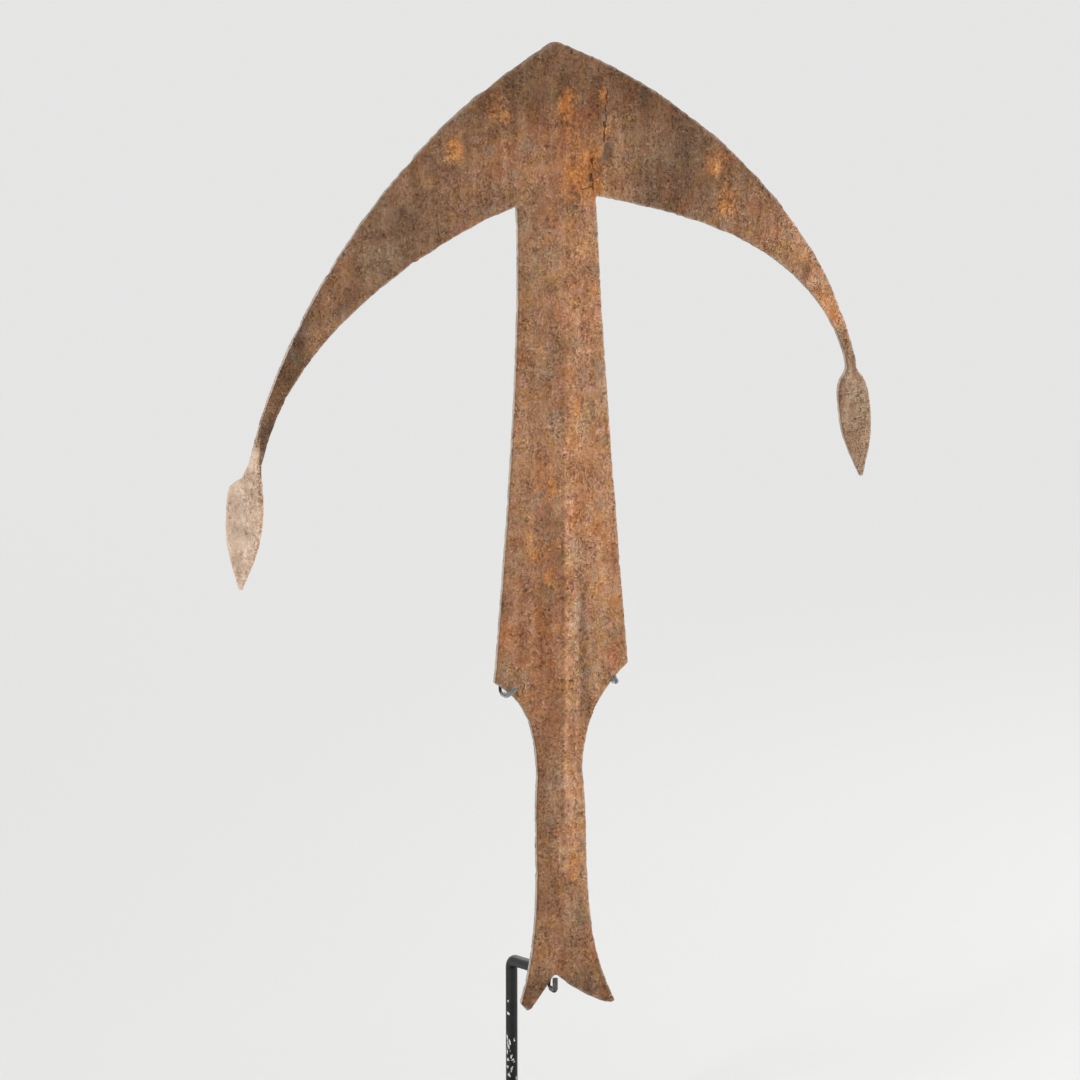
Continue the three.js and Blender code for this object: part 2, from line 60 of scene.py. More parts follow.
# Rod stand, as routes of corner points
POST_RADIUS = 3.175
POST_BEND = 5.5
POST_Y = 25.0
POST_ROUTE = [(0, POST_Y, 8.1), (0, POST_Y, 124.802), (0, -15.525, 132.9), (0, -15.525, 322.1)]
WIRE_RADIUS = 0.8
WIRE_BEND = 1.9
SLEEVE_BORE = 1.1
SLEEVE_RADIUS = 1.45
SLEEVE_FROM_LEG = 2.4
SLEEVE_PAST_TIP = 0.4
HOOK_BACK = -19.8
HOOK_FRONT = -26.75
BAR_HEIGHT = 316.1
LEFT_HOOK = dict(x=-32.0, run=296.958, lean=5.0)
RIGHT_HOOK = dict(x=34.3, run=292.813, lean=-1.8)
HOOK_TIP_RISE = 3.3
FORK_RUN = 126.1
FORK_ASIDE = -2.9
FORK_ROUTE = [
    (0, HOOK_BACK, 146.9), (FORK_ASIDE, HOOK_BACK, FORK_RUN),
    (FORK_ASIDE, HOOK_FRONT, FORK_RUN), (FORK_ASIDE, HOOK_FRONT, 132.9),
]

# How finely the rods are made: sides round them, and the step along them
POST_SIDES, POST_STEP = 40, 0.6
WIRE_SIDES, WIRE_STEP = 28, 0.4
SLEEVE_SIDES, SLEEVE_STEP = 36, 0.35
LEAST_BEND_PIECES = 6

# How far in the rods' end edges are softened
POST_SOFT = 0.5
WIRE_SOFT = 0.3
SLEEVE_SOFT = 0.15

# The braze at each wire: middle, half size across, deep and tall, and the seed of its lumps
BAR_BRAZE = ((0.0, -18.85, BAR_HEIGHT), (2.4, 0.75, 2.0), 3)
FORK_BRAZE = ((-0.3, -18.85, 143.5), (1.4, 0.7, 3.6), 8)
BRAZE_LUMPS = 7
BRAZE_VOXEL = 0.28
BRAZE_CRUST = 0.16

# The line down the left neck, by height, that parts its dark face from its pale side
NECK_LINE_Z = (425.0, 428.0, 431.6, 436.1, 440.6, 446.8, 453.5, 460.5, 466.0, 475.0)
NECK_LINE_X = (-169.0, -169.9, -171.2, -172.1, -172.3, -172.2, -171.3, -170.3, -169.2, -166.5)

# Base
BASE_SIZE = (150.0, 120.0)
BASE_BOTTOM = 1.8
BASE_TOP = 11.8
BASE_CORNER = 4.0
BASE_CORNER_STEPS = 14
BASE_BEVEL = 1.0
BASE_BEVEL_STEPS = 6
# The screw's hole and the post's socket: radius and height, from below
BASE_HOLE = [
    (3.3, 0.5), (3.3, 2.1), (1.8, 3.6), (1.8, 7.8), (3.475, 7.8), (3.475, 11.4), (3.8, 12.4),
]
HOLE_SIDES = 48
FELT_SIZE = (146.0, 116.0)
FELT_CORNER_STEPS = 10
# The felt's edge: how far in it lies, and its height
FELT_SECTION = [(0.35, 0.02), (0.08, 0.25), (0.0, 0.6), (0.0, 0.95), (0.08, 1.28), (0.35, 1.48)]
FELT_STEP = 1.2
FELT_FRAY = 0.18

# Noise on points, in millimetres

HASH_STEPS = (73856093, 19349663, 83492791)
HASH_SEED_STEP = 2654435761
HASH_MIX = 1274126177
HASH_MASK = 0xFFFFFFFF
HASH_HALF = 0x7FFFFFFF
SEED_SHIFT = 0.37
FRACTAL_GAIN = 1.6


def hashed(cells, seed):
    """A number from -1 to 1 for each cell, the same each time."""
    mixed = np.bitwise_xor.reduce(cells * HASH_STEPS, axis=1) ^ (seed * HASH_SEED_STEP)
    mixed &= HASH_MASK
    mixed = ((mixed ^ (mixed >> 13)) * HASH_MIX) & HASH_MASK
    mixed ^= mixed >> 16
    return mixed / HASH_HALF - 1.0


def lumps(points, size, seed):
    """Smooth noise from -1 to 1, with lumps about size apart."""
    place = points / size + SEED_SHIFT * seed
    cells = np.floor(place).astype(np.int64)
    part = place - cells
    ease = part ** 3 * (part * (part * 6 - 15) + 10)
    total = np.zeros(len(points))
    for corner in np.ndindex(2, 2, 2):
        weight = np.ones(len(points))
        for axis in range(3):
            weight = weight * (ease[:, axis] if corner[axis] else 1 - ease[:, axis])
        total += weight * hashed(cells + np.array(corner), seed)
    return total


def fractal(points, size, octaves, seed):
    """Noise whose lumps carry smaller lumps, each octave half the size of the last."""
    total = np.zeros(len(points))
    reach = 0.0
    for octave in range(octaves):
        total += lumps(points, size / 2 ** octave, seed + octave) / 2 ** octave
        reach += 1 / 2 ** octave
    return total / reach * FRACTAL_GAIN


def smoothstep(lo, hi, value):
    """An eased ramp from 0 at lo to 1 at hi; lo may be the larger."""
    t = np.clip((value - lo) / (hi - lo), 0, 1)
    return t * t * (3 - 2 * t)


def falloff(value, centre, width):
    """1 at the centre, and little past width from it."""
    return np.exp(-((value - centre) / width) ** 2)


# Meshes

def linked(name, mesh):
    piece = bpy.data.objects.new(name, mesh)
    bpy.context.scene.collection.objects.link(piece)
    return piece


def mesh_of(name, points, faces):
    mesh = bpy.data.meshes.new(name)
    mesh.from_pydata([tuple(MM * c for c in p) for p in points], [], faces)
    mesh.validate()
    mesh.shade_smooth()
    return linked(name, mesh)


def vertices(piece):
    data = np.empty(len(piece.data.vertices) * 3)
    piece.data.vertices.foreach_get("co", data)
    return data.reshape(-1, 3) / MM


def normals(piece):
    data = np.empty(len(piece.data.vertices) * 3)
    piece.data.vertices.foreach_get("normal", data)
    return data.reshape(-1, 3)


def set_vertices(piece, points):
    piece.data.vertices.foreach_set("co", (points * MM).ravel())
    piece.data.update()


def set_mask(piece, name, values):
    mask = piece.data.attributes.new(name, "FLOAT", "POINT")
    mask.data.foreach_set("value", values.astype(np.float32))


def applied(piece):
    """The piece with its modifiers made part of its mesh."""
    depsgraph = bpy.context.evaluated_depsgraph_get()
    mesh = bpy.data.meshes.new_from_object(piece.evaluated_get(depsgraph))
    piece.modifiers.clear()
    piece.data = mesh
    mesh.shade_smooth()
    return piece


def remeshed(piece, voxel):
    remesh = piece.modifiers.new("Remesh", "REMESH")
    remesh.mode = "VOXEL"
    remesh.voxel_size = voxel * MM
    return applied(piece)


def round_bends(corners, radius, step):
    """Points along straight runs joined by round bends, step apart."""
    corners = [Vector(c) for c in corners]
    marks = [corners[0]]
    for before, corner, after in zip(corners, corners[1:], corners[2:]):
        back = (before - corner).normalized()
        on = (after - corner).normalized()
        half = back.angle(on) / 2
        reach = radius / math.tan(half)
        centre = corner + (back + on).normalized() * radius / math.sin(half)
        start = corner + back * reach - centre
        end = corner + on * reach - centre
        sweep = start.angle(end)
        count = max(LEAST_BEND_PIECES, round(radius * sweep / step))
        for i in range(count + 1):
            part = i / count
            a = math.sin((1 - part) * sweep) / math.sin(sweep)
            b = math.sin(part * sweep) / math.sin(sweep)
            marks.append(centre + start * a + end * b)
    marks.append(corners[-1])
    points = [marks[0]]
    for here, there in zip(marks, marks[1:]):
        length = (there - here).length
        pieces = max(1, round(length / step))
        points += [here.lerp(there, (i + 1) / pieces) for i in range(pieces)]
    return points


def swept(name, corners, radius, bend, sides, step, soft, bore=0.0):
    """A round rod along a route, or a tube where it has a bore, with softened ends."""
    line = round_bends(corners, bend, step)
    tangents = []
    for i in range(len(line)):
        before = line[max(i - 1, 0)]
        after = line[min(i + 1, len(line) - 1)]
        tangents.append((after - before).normalized())
    across = tangents[0].orthogonal().normalized()
    stations = []
    for i, point in enumerate(line):
        if i:
            turn = tangents[i - 1].rotation_difference(tangents[i])
            across = turn @ across
        across = (across - tangents[i] * across.dot(tangents[i])).normalized()
        stations.append((point, tangents[i], across.copy()))
    ends = [(stations[0], 1), (stations[-1], -1)]

    def ring(station, r, shift=0.0):
        point, along, side = station
        other = along.cross(side)
        middle = point + along * shift
        turns = [2 * math.pi * k / sides for k in range(sides)]
        return [middle + side * (r * math.cos(t)) + other * (r * math.sin(t)) for t in turns]

    bows = [math.radians(a) for a in (0, 30, 60, 90)]
    cap = [(radius - soft * (1 - math.cos(a)), soft * (1 - math.sin(a))) for a in bows]
    rings = [ring(ends[0][0], r, s) for r, s in reversed(cap)]
    rings += [ring(station, radius) for station in stations[2:-2]]
    rings += [ring(ends[1][0], r, -s) for r, s in cap]
    if bore:
        rings += [ring(station, bore) for station in reversed(stations)]
    points = [p for r in rings for p in r]
    faces = []
    levels = len(rings)
    for level in range(levels if bore else levels - 1):
        for k in range(sides):
            n = (k + 1) % sides
            up = (level + 1) % levels
            faces.append((level * sides + k, level * sides + n, up * sides + n, up * sides + k))
    if not bore:
        points += [ends[0][0][0], ends[1][0][0]]
        first, last = len(points) - 2, len(points) - 1
        top = (levels - 1) * sides
        for k in range(sides):
            n = (k + 1) % sides
            faces.append((first, n, k))
            faces.append((last, top + k, top + n))
    return mesh_of(name, points, faces)


# Node materials

# The sockets of a Mix node that carry colours
MIX_FIRST, MIX_SECOND, MIX_RESULT = 6, 7, 2
NOISE_MIDDLE = 0.5


class Finish:
    """A material with short names for the nodes that it is made of."""

    def __init__(self, name):
        self.material = bpy.data.materials.new(name)
        self.material.use_nodes = True
        self.tree = self.material.node_tree
        self.shader = self.tree.nodes["Principled BSDF"]
        self.place = self.tree.nodes.new("ShaderNodeTexCoord").outputs["Object"]

    def feed(self, socket, value):
        if isinstance(value, bpy.types.NodeSocket):
            self.tree.links.new(value, socket)
        elif isinstance(value, tuple) and len(value) == 3 and socket.type == "RGBA":
            socket.default_value = (*value, 1.0)
        else:
            socket.default_value = value

    def set(self, **values):
        """Feeds the shader's own sockets by name, with an underscore for a space."""
        for name, value in values.items():
            self.feed(self.shader.inputs[name.replace("_", " ")], value)

    def mapped(self, scale, shift=(0, 0, 0)):
        node = self.tree.nodes.new("ShaderNodeMapping")
        self.feed(node.inputs["Vector"], self.place)
        node.inputs["Scale"].default_value = scale
        node.inputs["Location"].default_value = shift
        return node.outputs["Vector"]

    def noise(self, size, detail=2.0, rough=0.5, at=None, twist=0.0, shift=(0, 0, 0)):
        """Noise with features about size millimetres across, from 0 to 1."""
        node = self.tree.nodes.new("ShaderNodeTexNoise")
        self.feed(node.inputs["Vector"], at or self.mapped((1, 1, 1), shift))
        node.inputs["Scale"].default_value = 1 / (size * MM)
        node.inputs["Detail"].default_value = detail
        node.inputs["Roughness"].default_value = rough
        node.inputs["Distortion"].default_value = twist
        return node.outputs["Fac"]

    def math(self, operation, *values):
        node = self.tree.nodes.new("ShaderNodeMath")
        node.operation = operation
        for socket, value in zip(node.inputs, values):
            self.feed(socket, value)
        return node.outputs[0]

    def total(self, *terms):
        """The sum of values, each times its own weight."""
        result = None
        for value, weight in terms:
            part = self.math("MULTIPLY", value, weight)
            result = part if result is None else self.math("ADD", result, part)
        return result

    def spread(self, value, lo, hi, to_lo=0.0, to_hi=1.0):
        """An eased ramp from to_lo at lo to to_hi at hi."""
        node = self.tree.nodes.new("ShaderNodeMapRange")
        node.interpolation_type = "SMOOTHSTEP"
        for socket, entry in zip(node.inputs, (value, lo, hi, to_lo, to_hi)):
            self.feed(socket, entry)
        return node.outputs["Result"]

    def mask(self, name):
        """The vertex mask with this name."""
        node = self.tree.nodes.new("ShaderNodeAttribute")
        node.attribute_name = name
        return node.outputs["Fac"]

    def ramp(self, value, *stops):
        node = self.tree.nodes.new("ShaderNodeValToRGB")
        self.feed(node.inputs["Fac"], value)
        points = node.color_ramp.elements
        for i, (at, colour) in enumerate(stops):
            entry = points[i] if i < len(points) else points.new(at)
            entry.position = at
            entry.color = (*colour, 1.0)
        return node.outputs["Color"]

    def mix(self, share, first, second, blend="MIX"):
        node = self.tree.nodes.new("ShaderNodeMix")
        node.data_type = "RGBA"
        node.blend_type = blend
        self.feed(node.inputs["Factor"], share)
        self.feed(node.inputs[MIX_FIRST], first)
        self.feed(node.inputs[MIX_SECOND], second)
        return node.outputs[MIX_RESULT]

    def vector(self, operation, *values):
        node = self.tree.nodes.new("ShaderNodeVectorMath")
        node.operation = operation
        for socket, value in zip(node.inputs, values):
            self.feed(socket, value)
        return node.outputs["Value" if operation == "LENGTH" else "Vector"]

    def shaken(self, size, reach):
        """The place moved about by noise, in millimetres, so that lines through it waver."""
        node = self.tree.nodes.new("ShaderNodeTexNoise")
        self.feed(node.inputs["Vector"], self.place)
        node.inputs["Scale"].default_value = 1 / (size * MM)
        drift = self.vector("SUBTRACT", node.outputs["Color"], (NOISE_MIDDLE,) * 3)
        return self.vector("ADD", self.place, self.vector("MULTIPLY", drift, (reach * MM,) * 3))

    def lit(self, colour, stops):
        """The colour made brighter or darker by a number of stops."""
        node = self.tree.nodes.new("ShaderNodeVectorMath")
        node.operation = "SCALE"
        self.feed(node.inputs[0], colour)
        self.feed(node.inputs["Scale"], self.math("POWER", 2.0, stops))
        return node.outputs["Vector"]

    def balanced(self, *terms):
        """Noises summed by weight about their shared middle."""
        weights = sum(weight for noise, weight in terms)
        return self.math("ADD", self.total(*terms), NOISE_MIDDLE - NOISE_MIDDLE * weights)

    def scaled(self, value, by):
        """A noise's swing about its middle, made larger or smaller."""
        swing = self.math("MULTIPLY", self.math("SUBTRACT", value, NOISE_MIDDLE), by)
        return self.math("ADD", swing, NOISE_MIDDLE)

    def patchy(self, name, noise, lo, hi, least, most):
        """A vertex mask whose strength goes from least to most with a noise."""
        return self.math("MULTIPLY", self.mask(name), self.spread(noise, lo, hi, least, most))

    def ragged(self, name, swing, *terms):
        """A vertex mask with noise added, so that a spread of it has ragged edges."""
        noise = self.math("MULTIPLY", self.balanced(*terms), swing)
        return self.math("ADD", self.mask(name), noise)

    def tinted(self, colour, share, factor):
        """The colour, times factor where share is 1."""
        return self.mix(share, colour, self.mix(1.0, colour, factor, "MULTIPLY"))

    def groove(self, at, centre, half, width):
        """1 inside a small box and 0 beyond width from it, in millimetres."""
        centre = tuple(MM * c for c in centre)
        half = tuple(MM * h for h in half)
        away = self.vector("ABSOLUTE", self.vector("SUBTRACT", at, centre))
        outside = self.vector("MAXIMUM", self.vector("SUBTRACT", away, half), (0.0, 0.0, 0.0))
        return self.spread(self.vector("LENGTH", outside), 0.0, width * MM, 1.0, 0.0)

    def bump(self, *layers, strength=1.0):
        """Bump layers of (height, depth in millimetres), fed to the shader's normal."""
        normal = None
        for height, depth in layers:
            node = self.tree.nodes.new("ShaderNodeBump")
            node.inputs["Distance"].default_value = depth * MM
            self.feed(node.inputs["Height"], height)
            self.feed(node.inputs["Strength"], strength)
            if normal is not None:
                self.feed(node.inputs["Normal"], normal)
            normal = node.outputs["Normal"]
        self.feed(self.shader.inputs["Normal"], normal)


def dress(piece, finish):
    piece.data.materials.clear()
    piece.data.materials.append(finish.material)


# The blade's forged surface: patches in the rust, each with x, z, radius and strength

ORANGE = [
    (4, 603, 7, 0.9), (9, 592, 7, 0.55), (17.5, 573, 7, 0.9), (12, 566, 11, 0.95),
    (20.5, 559, 6, 1), (3, 560, 8, 0.55), (10, 581, 7, 0.5), (-37, 606, 8, 0.55),
    (-31, 602, 5, 0.6), (-59.3, 588.9, 6, 0.9), (26.6, 606.5, 4.5, 0.8),
    (28.6, 588, 4, 0.8), (100.5, 542.4, 8, 0.7), (93, 562, 7, 0.6),
    (10.7, 448.4, 5.5, 0.75), (-3.5, 405.6, 4, 1), (-5.8, 358.5, 4.5, 1),
    (-14.1, 369.1, 4, 0.85), (-17.7, 379.9, 5, 0.5), (10, 197.4, 4.5, 0.9),
    (9.5, 190.8, 5, 0.7), (22.6, 431.7, 6, 0.5), (25.5, 347, 5, 0.7), (-34.5, 331, 5, 0.6),
    (35, 312, 6, 0.5), (13, 524, 8, 0.4), (9, 540, 8, 0.5), (158, 486, 6, 0.8),
    (165, 474, 5, 0.8), (-13, 118, 7, 0.55), (26, 120, 8, 0.30), (0, 140, 7, 0.5),
    (12, 206, 3, 0.8), (21, 508, 6, 0.6), (-10, 480, 7, 0.45), (-8, 437, 5, 0.5),
]
DARK = [
    (-87.8, 556.8, 11, 0.6), (-122.4, 516.4, 9, 0.6), (149, 499.5, 5, 0.9),
    (157.5, 489, 4, 0.6), (-10.6, 551.9, 8, 0.5), (-42.7, 600, 6, 0.5),
    (-11, 436.7, 5, 0.5), (1, 386.5, 6, 0.6), (-1, 367.4, 5, 0.6), (-10.6, 391, 5, 0.45),
    (17.5, 405.6, 5, 0.5), (-17, 368, 4, 0.4), (-5, 301, 7, 0.4), (0, 294, 6, 0.4),
    (11.5, 250.5, 5, 0.5), (54, 551.7, 7, 0.45), (28.5, 578, 4, 1.3), (-11, 268.5, 6, 0.4),
    (-6, 499, 5, 0.6), (-4, 511, 5, 0.6), (-150, 478, 14, 0.5), (-160, 455, 10, 0.6),
    (175, 453, 5, 0.6), (4, 618, 6, 0.5), (-14, 604, 12, 0.5), (14.6, 207, 5, 0.5),
    (186, 409, 3, 0.7), (62, 598, 9, 0.5), (-177, 437, 2.6, 1), (-181, 421, 3.6, 0.8),
    (14.5, 610, 4, 0.5), (24, 620, 6, 0.4), (-180, 409, 3.2, 0.7), (-186, 430, 2.4, 0.5),
    (-175.5, 428, 2.4, 0.6), (-181.5, 392, 2.6, 0.6),
]
GREY = [
    (158.5, 491.5, 5, 0.9), (54, 553, 9, 0.6), (-95, 540, 22, 0.5), (70, 575, 18, 0.5),
    (172, 462, 5, 0.7), (14, 203, 6, 0.7), (12, 178, 7, 0.6), (15.5, 165, 7, 0.6),
    (-3, 388, 6, 0.4), (-1.5, 245, 8, 0.5), (0, 222, 9, 0.5), (180.5, 446, 5, 0.8),
    (187, 386, 5, 0.8), (29, 577, 5, 0.7), (-34, 305, 7, 0.5), (27, 462, 6, 0.9),
    (-6, 470, 8, 0.5), (27, 450, 7, 0.5), (-20, 545, 9, 0.5), (36, 540, 8, 0.5),
]
# Pale flakes; the first five, on the right leaf's edge, also stand for painted light on its lit
# slivers
PALE = [
    (189.9, 427.5, 2.2, 1), (190.4, 423, 1.6, 1), (191.8, 418.5, 1.8, 1),
    (181, 436, 1.6, 0.8), (184, 433, 1.4, 0.7), (24.5, 431, 1.5, 0.8), (-5, 437, 1.3, 0.7),
    (8, 331, 1.5, 0.8),
]

# Each kind of patch by its mask: its places, and how many times as tall as wide they are
PATCHES = {"orange": (ORANGE, 1.5), "dark": (DARK, 1.3), "grey": (GREY, 1.4), "pale": (PALE, 1.0)}
# How far noise moves a patch's edge, and how fast the patch falls off
PATCH_WANDER = 2.4
PATCH_FALL = 1.2

# How deep the iron is cut
DENTS = 0.12
CRUST = 0.20
CROWN_WAVES = 0.65
POCKS = 0.30
EDGE_WEAR = 0.26
CROWN_EDGE_WEAR = 0.30
EDGE_BITES = 0.60
FLAKE_OFF = 1.0
NOTCH = 0.9
CRACK = 0.35
LEAF_EASE = 0.5

# The crown's waves run upright, so their noise changes slowest along z
WAVE_SQUASH = (1, 1, 0.14)
# The share of sideways facing past which a point is on the blade's side
SIDE_SHARE = 0.6


def patches(points):
    """A mask for each kind of patch, with soft and wandering edges."""
    wander = np.stack([fractal(points, 7.0, 3, 41), fractal(points, 7.0, 3, 51)], 1)
    flat = points[:, [0, 2]] + PATCH_WANDER * wander
    masks = {}
    for name, (places, tall) in PATCHES.items():
        masks[name] = np.zeros(len(points))
        for x, z, radius, strength in places:
            far = np.hypot(flat[:, 0] - x, (flat[:, 1] - z) / tall) / radius
            masks[name] = np.maximum(masks[name], strength * np.exp(-far ** 2 * PATCH_FALL))
    return masks


def carved(points, facing, sideways):
    """How deep each point is cut: dents, crust, waves at the crown, pocks and worn edges."""
    x, z = points[:, 0], points[:, 2]
    crown = smoothstep(590, 625, z)
    waves = np.maximum(0, fractal(points * WAVE_SQUASH, 9.0, 2, 31) + 0.1)
    cut = DENTS * (0.9 + fractal(points, 19.0, 2, 1))
    cut += CRUST * np.maximum(0, fractal(points, 3.0, 3, 5) + 0.25)
    cut += CROWN_WAVES * waves * smoothstep(500, 560, z)
    cut += POCKS * smoothstep(0.45, 0.8, fractal(points, 4.6, 2, 11))
    wear = EDGE_WEAR + CROWN_EDGE_WEAR * crown
    cut += sideways * wear * np.abs(fractal(points, 5.0, 3, 17))
    cut += sideways * EDGE_BITES * smoothstep(0.5, 0.85, fractal(points, 8.0, 2, 23))
    flake = falloff(x, 189.5, 3.0) * falloff(z, 434.0, 3.6)
    notch = falloff(x, 191.0, 2.4) * falloff(z, 422.2, 0.9)
    cut += sideways * (FLAKE_OFF * flake + NOTCH * notch)
    line = falloff(x, 27.4 + 0.8 * lumps(points, 9.0, 77), 0.8)
    crack = line * smoothstep(577, 583, z) * smoothstep(613, 605, z)
    cut += CRACK * crack * (facing[:, 1] < -0.5)
    return np.maximum(cut, 0)


def nearest_side(points, sideways):
    """For each point on a face, how far the nearest point of a side is, and which it is."""
    side_ids = np.flatnonzero(sideways > SIDE_SHARE)
    tree = kdtree.KDTree(len(side_ids))
    for i in side_ids:
        tree.insert(points[i], int(i))
    tree.balance()
    far = np.zeros(len(points))
    which = np.zeros(len(points), dtype=np.int64)
    for i in np.flatnonzero(sideways <= SIDE_SHARE):
        which[i], far[i] = tree.find(points[i])[1:]
    return far, which


def forge(piece):
    """Hammered skin, pits and worn edges, all cut inwards, and the masks for the rust and for its
    painted light and shade.
    """
    points = vertices(piece)
    facing = normals(piece)
    x, y, z = points.T
    sideways = 1 - smoothstep(0.5, 0.82, np.abs(facing[:, 1]))
    left_leaf = smoothstep(-163, -168, x) * smoothstep(458, 446, z)
    right_leaf = smoothstep(170, 176, x) * smoothstep(446, 440, z)
    cut = carved(points, facing, sideways) * (1 - LEAF_EASE * np.maximum(left_leaf, right_leaf))

    rim, found = nearest_side(points, sideways)
    outward = facing[found]
    right_or_down = np.maximum(outward[:, 0], -outward[:, 2])
    near_rim = falloff(rim, 0, 1.0) * (sideways <= SIDE_SHARE)
    inner_line = falloff(rim, 0.2, 0.6) * (1 - left_leaf)
    leftward = sideways * smoothstep(0.3, 0.85, -facing[:, 0])
    behind_front = smoothstep(FRONT + 0.1, FRONT + 0.9, y)

    # The rim, side and tone masks also place painted light and shade: highlights on rims facing up,
    # right or down, a shade line inside the left edges, light on the sides facing left, paler
    # sides, and the rib's light and shade
    masks = {
        "side": sideways,
        "lit_side": leftward * behind_front * (1 - left_leaf),
        "painted_shade_line": inner_line * smoothstep(0.3, 0.9, -outward[:, 0]),
        "painted_rim_highlight": near_rim * smoothstep(0.1, 0.7, right_or_down),
        "painted_top_highlight": near_rim * smoothstep(0.3, 0.8, outward[:, 2]),
        "left_leaf": left_leaf,
        "wedge": wedge_of(points, facing),
        "right_leaf": right_leaf,
        "tone_and_painted_light": tone_of(points),
        "red": redness_of(points),
    }
    set_vertices(piece, points - facing * cut[:, None])
    for name, values in {**masks, **patches(points)}.items():
        set_mask(piece, name, values)


def wedge_of(points, facing):
    """The left neck's dark face, right of the line where its pale side turns into the leaf."""
    x, z = points[:, 0], points[:, 2]
    line = np.interp(z, NECK_LINE_Z, NECK_LINE_X)
    right_of_line = smoothstep(line - 0.4, line + 0.6, x)
    tall = smoothstep(424, 428, z) * smoothstep(472, 458, z)
    return right_of_line * tall * (x < -140) * (facing[:, 1] < 0.5)


# Ramps that bound a tone: what is measured, where it is 0 and where it is 1. The measures are
# x, the height z, and out, the distance from the middle.
ARMS = ("z", 470, 500)
SHAFT = [("out", 50, 40), ("z", 230, 300), ("z", 560, 520)]
GRIP = [("out", 40, 30), ("z", 300, 240), ("z", 160, 185)]
BASE_TONE = -0.13
# The shaft's and grip's right halves lighter and left halves darker, in stops: partly rust tone,
# partly painted light and shade on the rib's facets
SHAFT_HALF_TONE_AND_LIGHT = 0.14
GRIP_HALF_TONE_AND_LIGHT = 0.34
GRIP_TONE = -0.20

# Light and dark areas: stops, then ramps
TONES = [
    (-0.24, ("z", 185, 160)),
    (-0.87, ("z", 145, 122)),
    (0.15, ("z", 270, 250), ("z", 185, 210)),
    (-0.20, ("z", 535, 560)),
    (-0.78, ("z", 578, 615), ("out", 90, 30)),
    (0.14, ("z", 350, 390), ("z", 470, 440), ("out", 50, 40)),
    (-0.20, ("x", 0, -20), ("z", 500, 520), ("z", 575, 555)),
    (-0.45, ("out", 35, 75), ARMS),
    (-0.40, ("x", 32, 50), ("x", 100, 75), ARMS),
    (0.80, ("x", 100, 150), ("z", 575, 500), ("z", 448, 475)),
    (-0.42, ("z", 470, 452), ("x", 150, 165)),
    (0.12, ("x", -95, -115), ("x", -140, -125), ARMS),
    (-0.95, ("x", -138, -148), ("x", -170, -162), ("z", 440, 455)),
]
# Painted light and shade of the rib, as upright stripes: a lit band and a highlight on the crest
# right of the ridge, a shaded stripe further right and a shaded gutter left of it. Each has
# stops, x at height STRIPE_Z, lean, half width, then ramps
STRIPE_Z = 330
RIB_LIGHT_AND_SHADE = [
    (0.22, RIDGE_X + 4.5, 0.0, 4.2, ("z", 520, 420), ("z", 150, 200)),
    (0.34, RIDGE_X + 2.4, 0.0, 1.0, ("z", 430, 360), ("z", 220, 260)),
    (-0.60, 14.0, 0.07, 3.2, ("z", 375, 335), ("z", 255, 285)),
    (-0.20, -6.0, 0.0, 6.5, ("z", 500, 470), ("z", 210, 260)),
]
REDNESS = 0.5


def bounded(measures, ramps):
    """The product of ramps."""
    share = 1.0
    for name, start, full in ramps:
        share = share * smoothstep(start, full, measures[name])
    return share


def tone_of(points):
    """Broad light and dark of the rust, in stops: pale shaft, dark apex, arms and fork. It also
    holds painted light and shade of the rib: the shaft's and grip's right halves lighter and left
    halves darker, partly painted light, and painted stripes of light and shade beside the rib.
    """
    x, z = points[:, 0], points[:, 2]
    measures = {"x": x, "z": z, "out": np.abs(x)}
    tone_and_painted_light = BASE_TONE + SHAFT_HALF_TONE_AND_LIGHT * np.tanh(x / 9.0) * bounded(measures, SHAFT)
    tone_and_painted_light += (GRIP_TONE + GRIP_HALF_TONE_AND_LIGHT * np.tanh(x / 7.0)) * bounded(measures, GRIP)
    for stops, *ramps in TONES:
        tone_and_painted_light += stops * bounded(measures, ramps)
    for stops, middle, lean, width, *ramps in RIB_LIGHT_AND_SHADE:
        line = middle + lean * (STRIPE_Z - z)
        tone_and_painted_light += stops * falloff(x, line, width) * bounded(measures, ramps)
    return tone_and_painted_light


def redness_of(points):
    """Where the rust is redder: beside the rib, at the left shoulder and under the apex."""
    x, z = points[:, 0], points[:, 2]
    gutter = falloff(x, -7.0, 8.0) * smoothstep(430, 380, z) * smoothstep(230, 280, z)
    shoulder = falloff(x, -30.0, 12.0) * falloff(z, 325.0, 20.0)
    narrow = smoothstep(30, 10, np.abs(x - 4.0))
    apex = narrow * smoothstep(545, 575, z) * smoothstep(625, 600, z)
    return REDNESS * (gutter + shoulder + apex)


# Colours of the rust, from dark to light with the sum of its noises
RUST = [
    (0.18, (0.140, 0.060, 0.025)),
    (0.36, (0.285, 0.132, 0.061)),
    (0.50, (0.415, 0.210, 0.108)),
    (0.64, (0.550, 0.315, 0.180)),
    (0.85, (0.780, 0.560, 0.405)),
]
ASH = [(0.25, (0.130, 0.082, 0.048)), (0.75, (0.540, 0.390, 0.265))]
BLOOM = [
    (0.22, (0.190, 0.052, 0.012)),
    (0.50, (0.480, 0.180, 0.048)),
    (0.78, (0.780, 0.400, 0.150)),
]
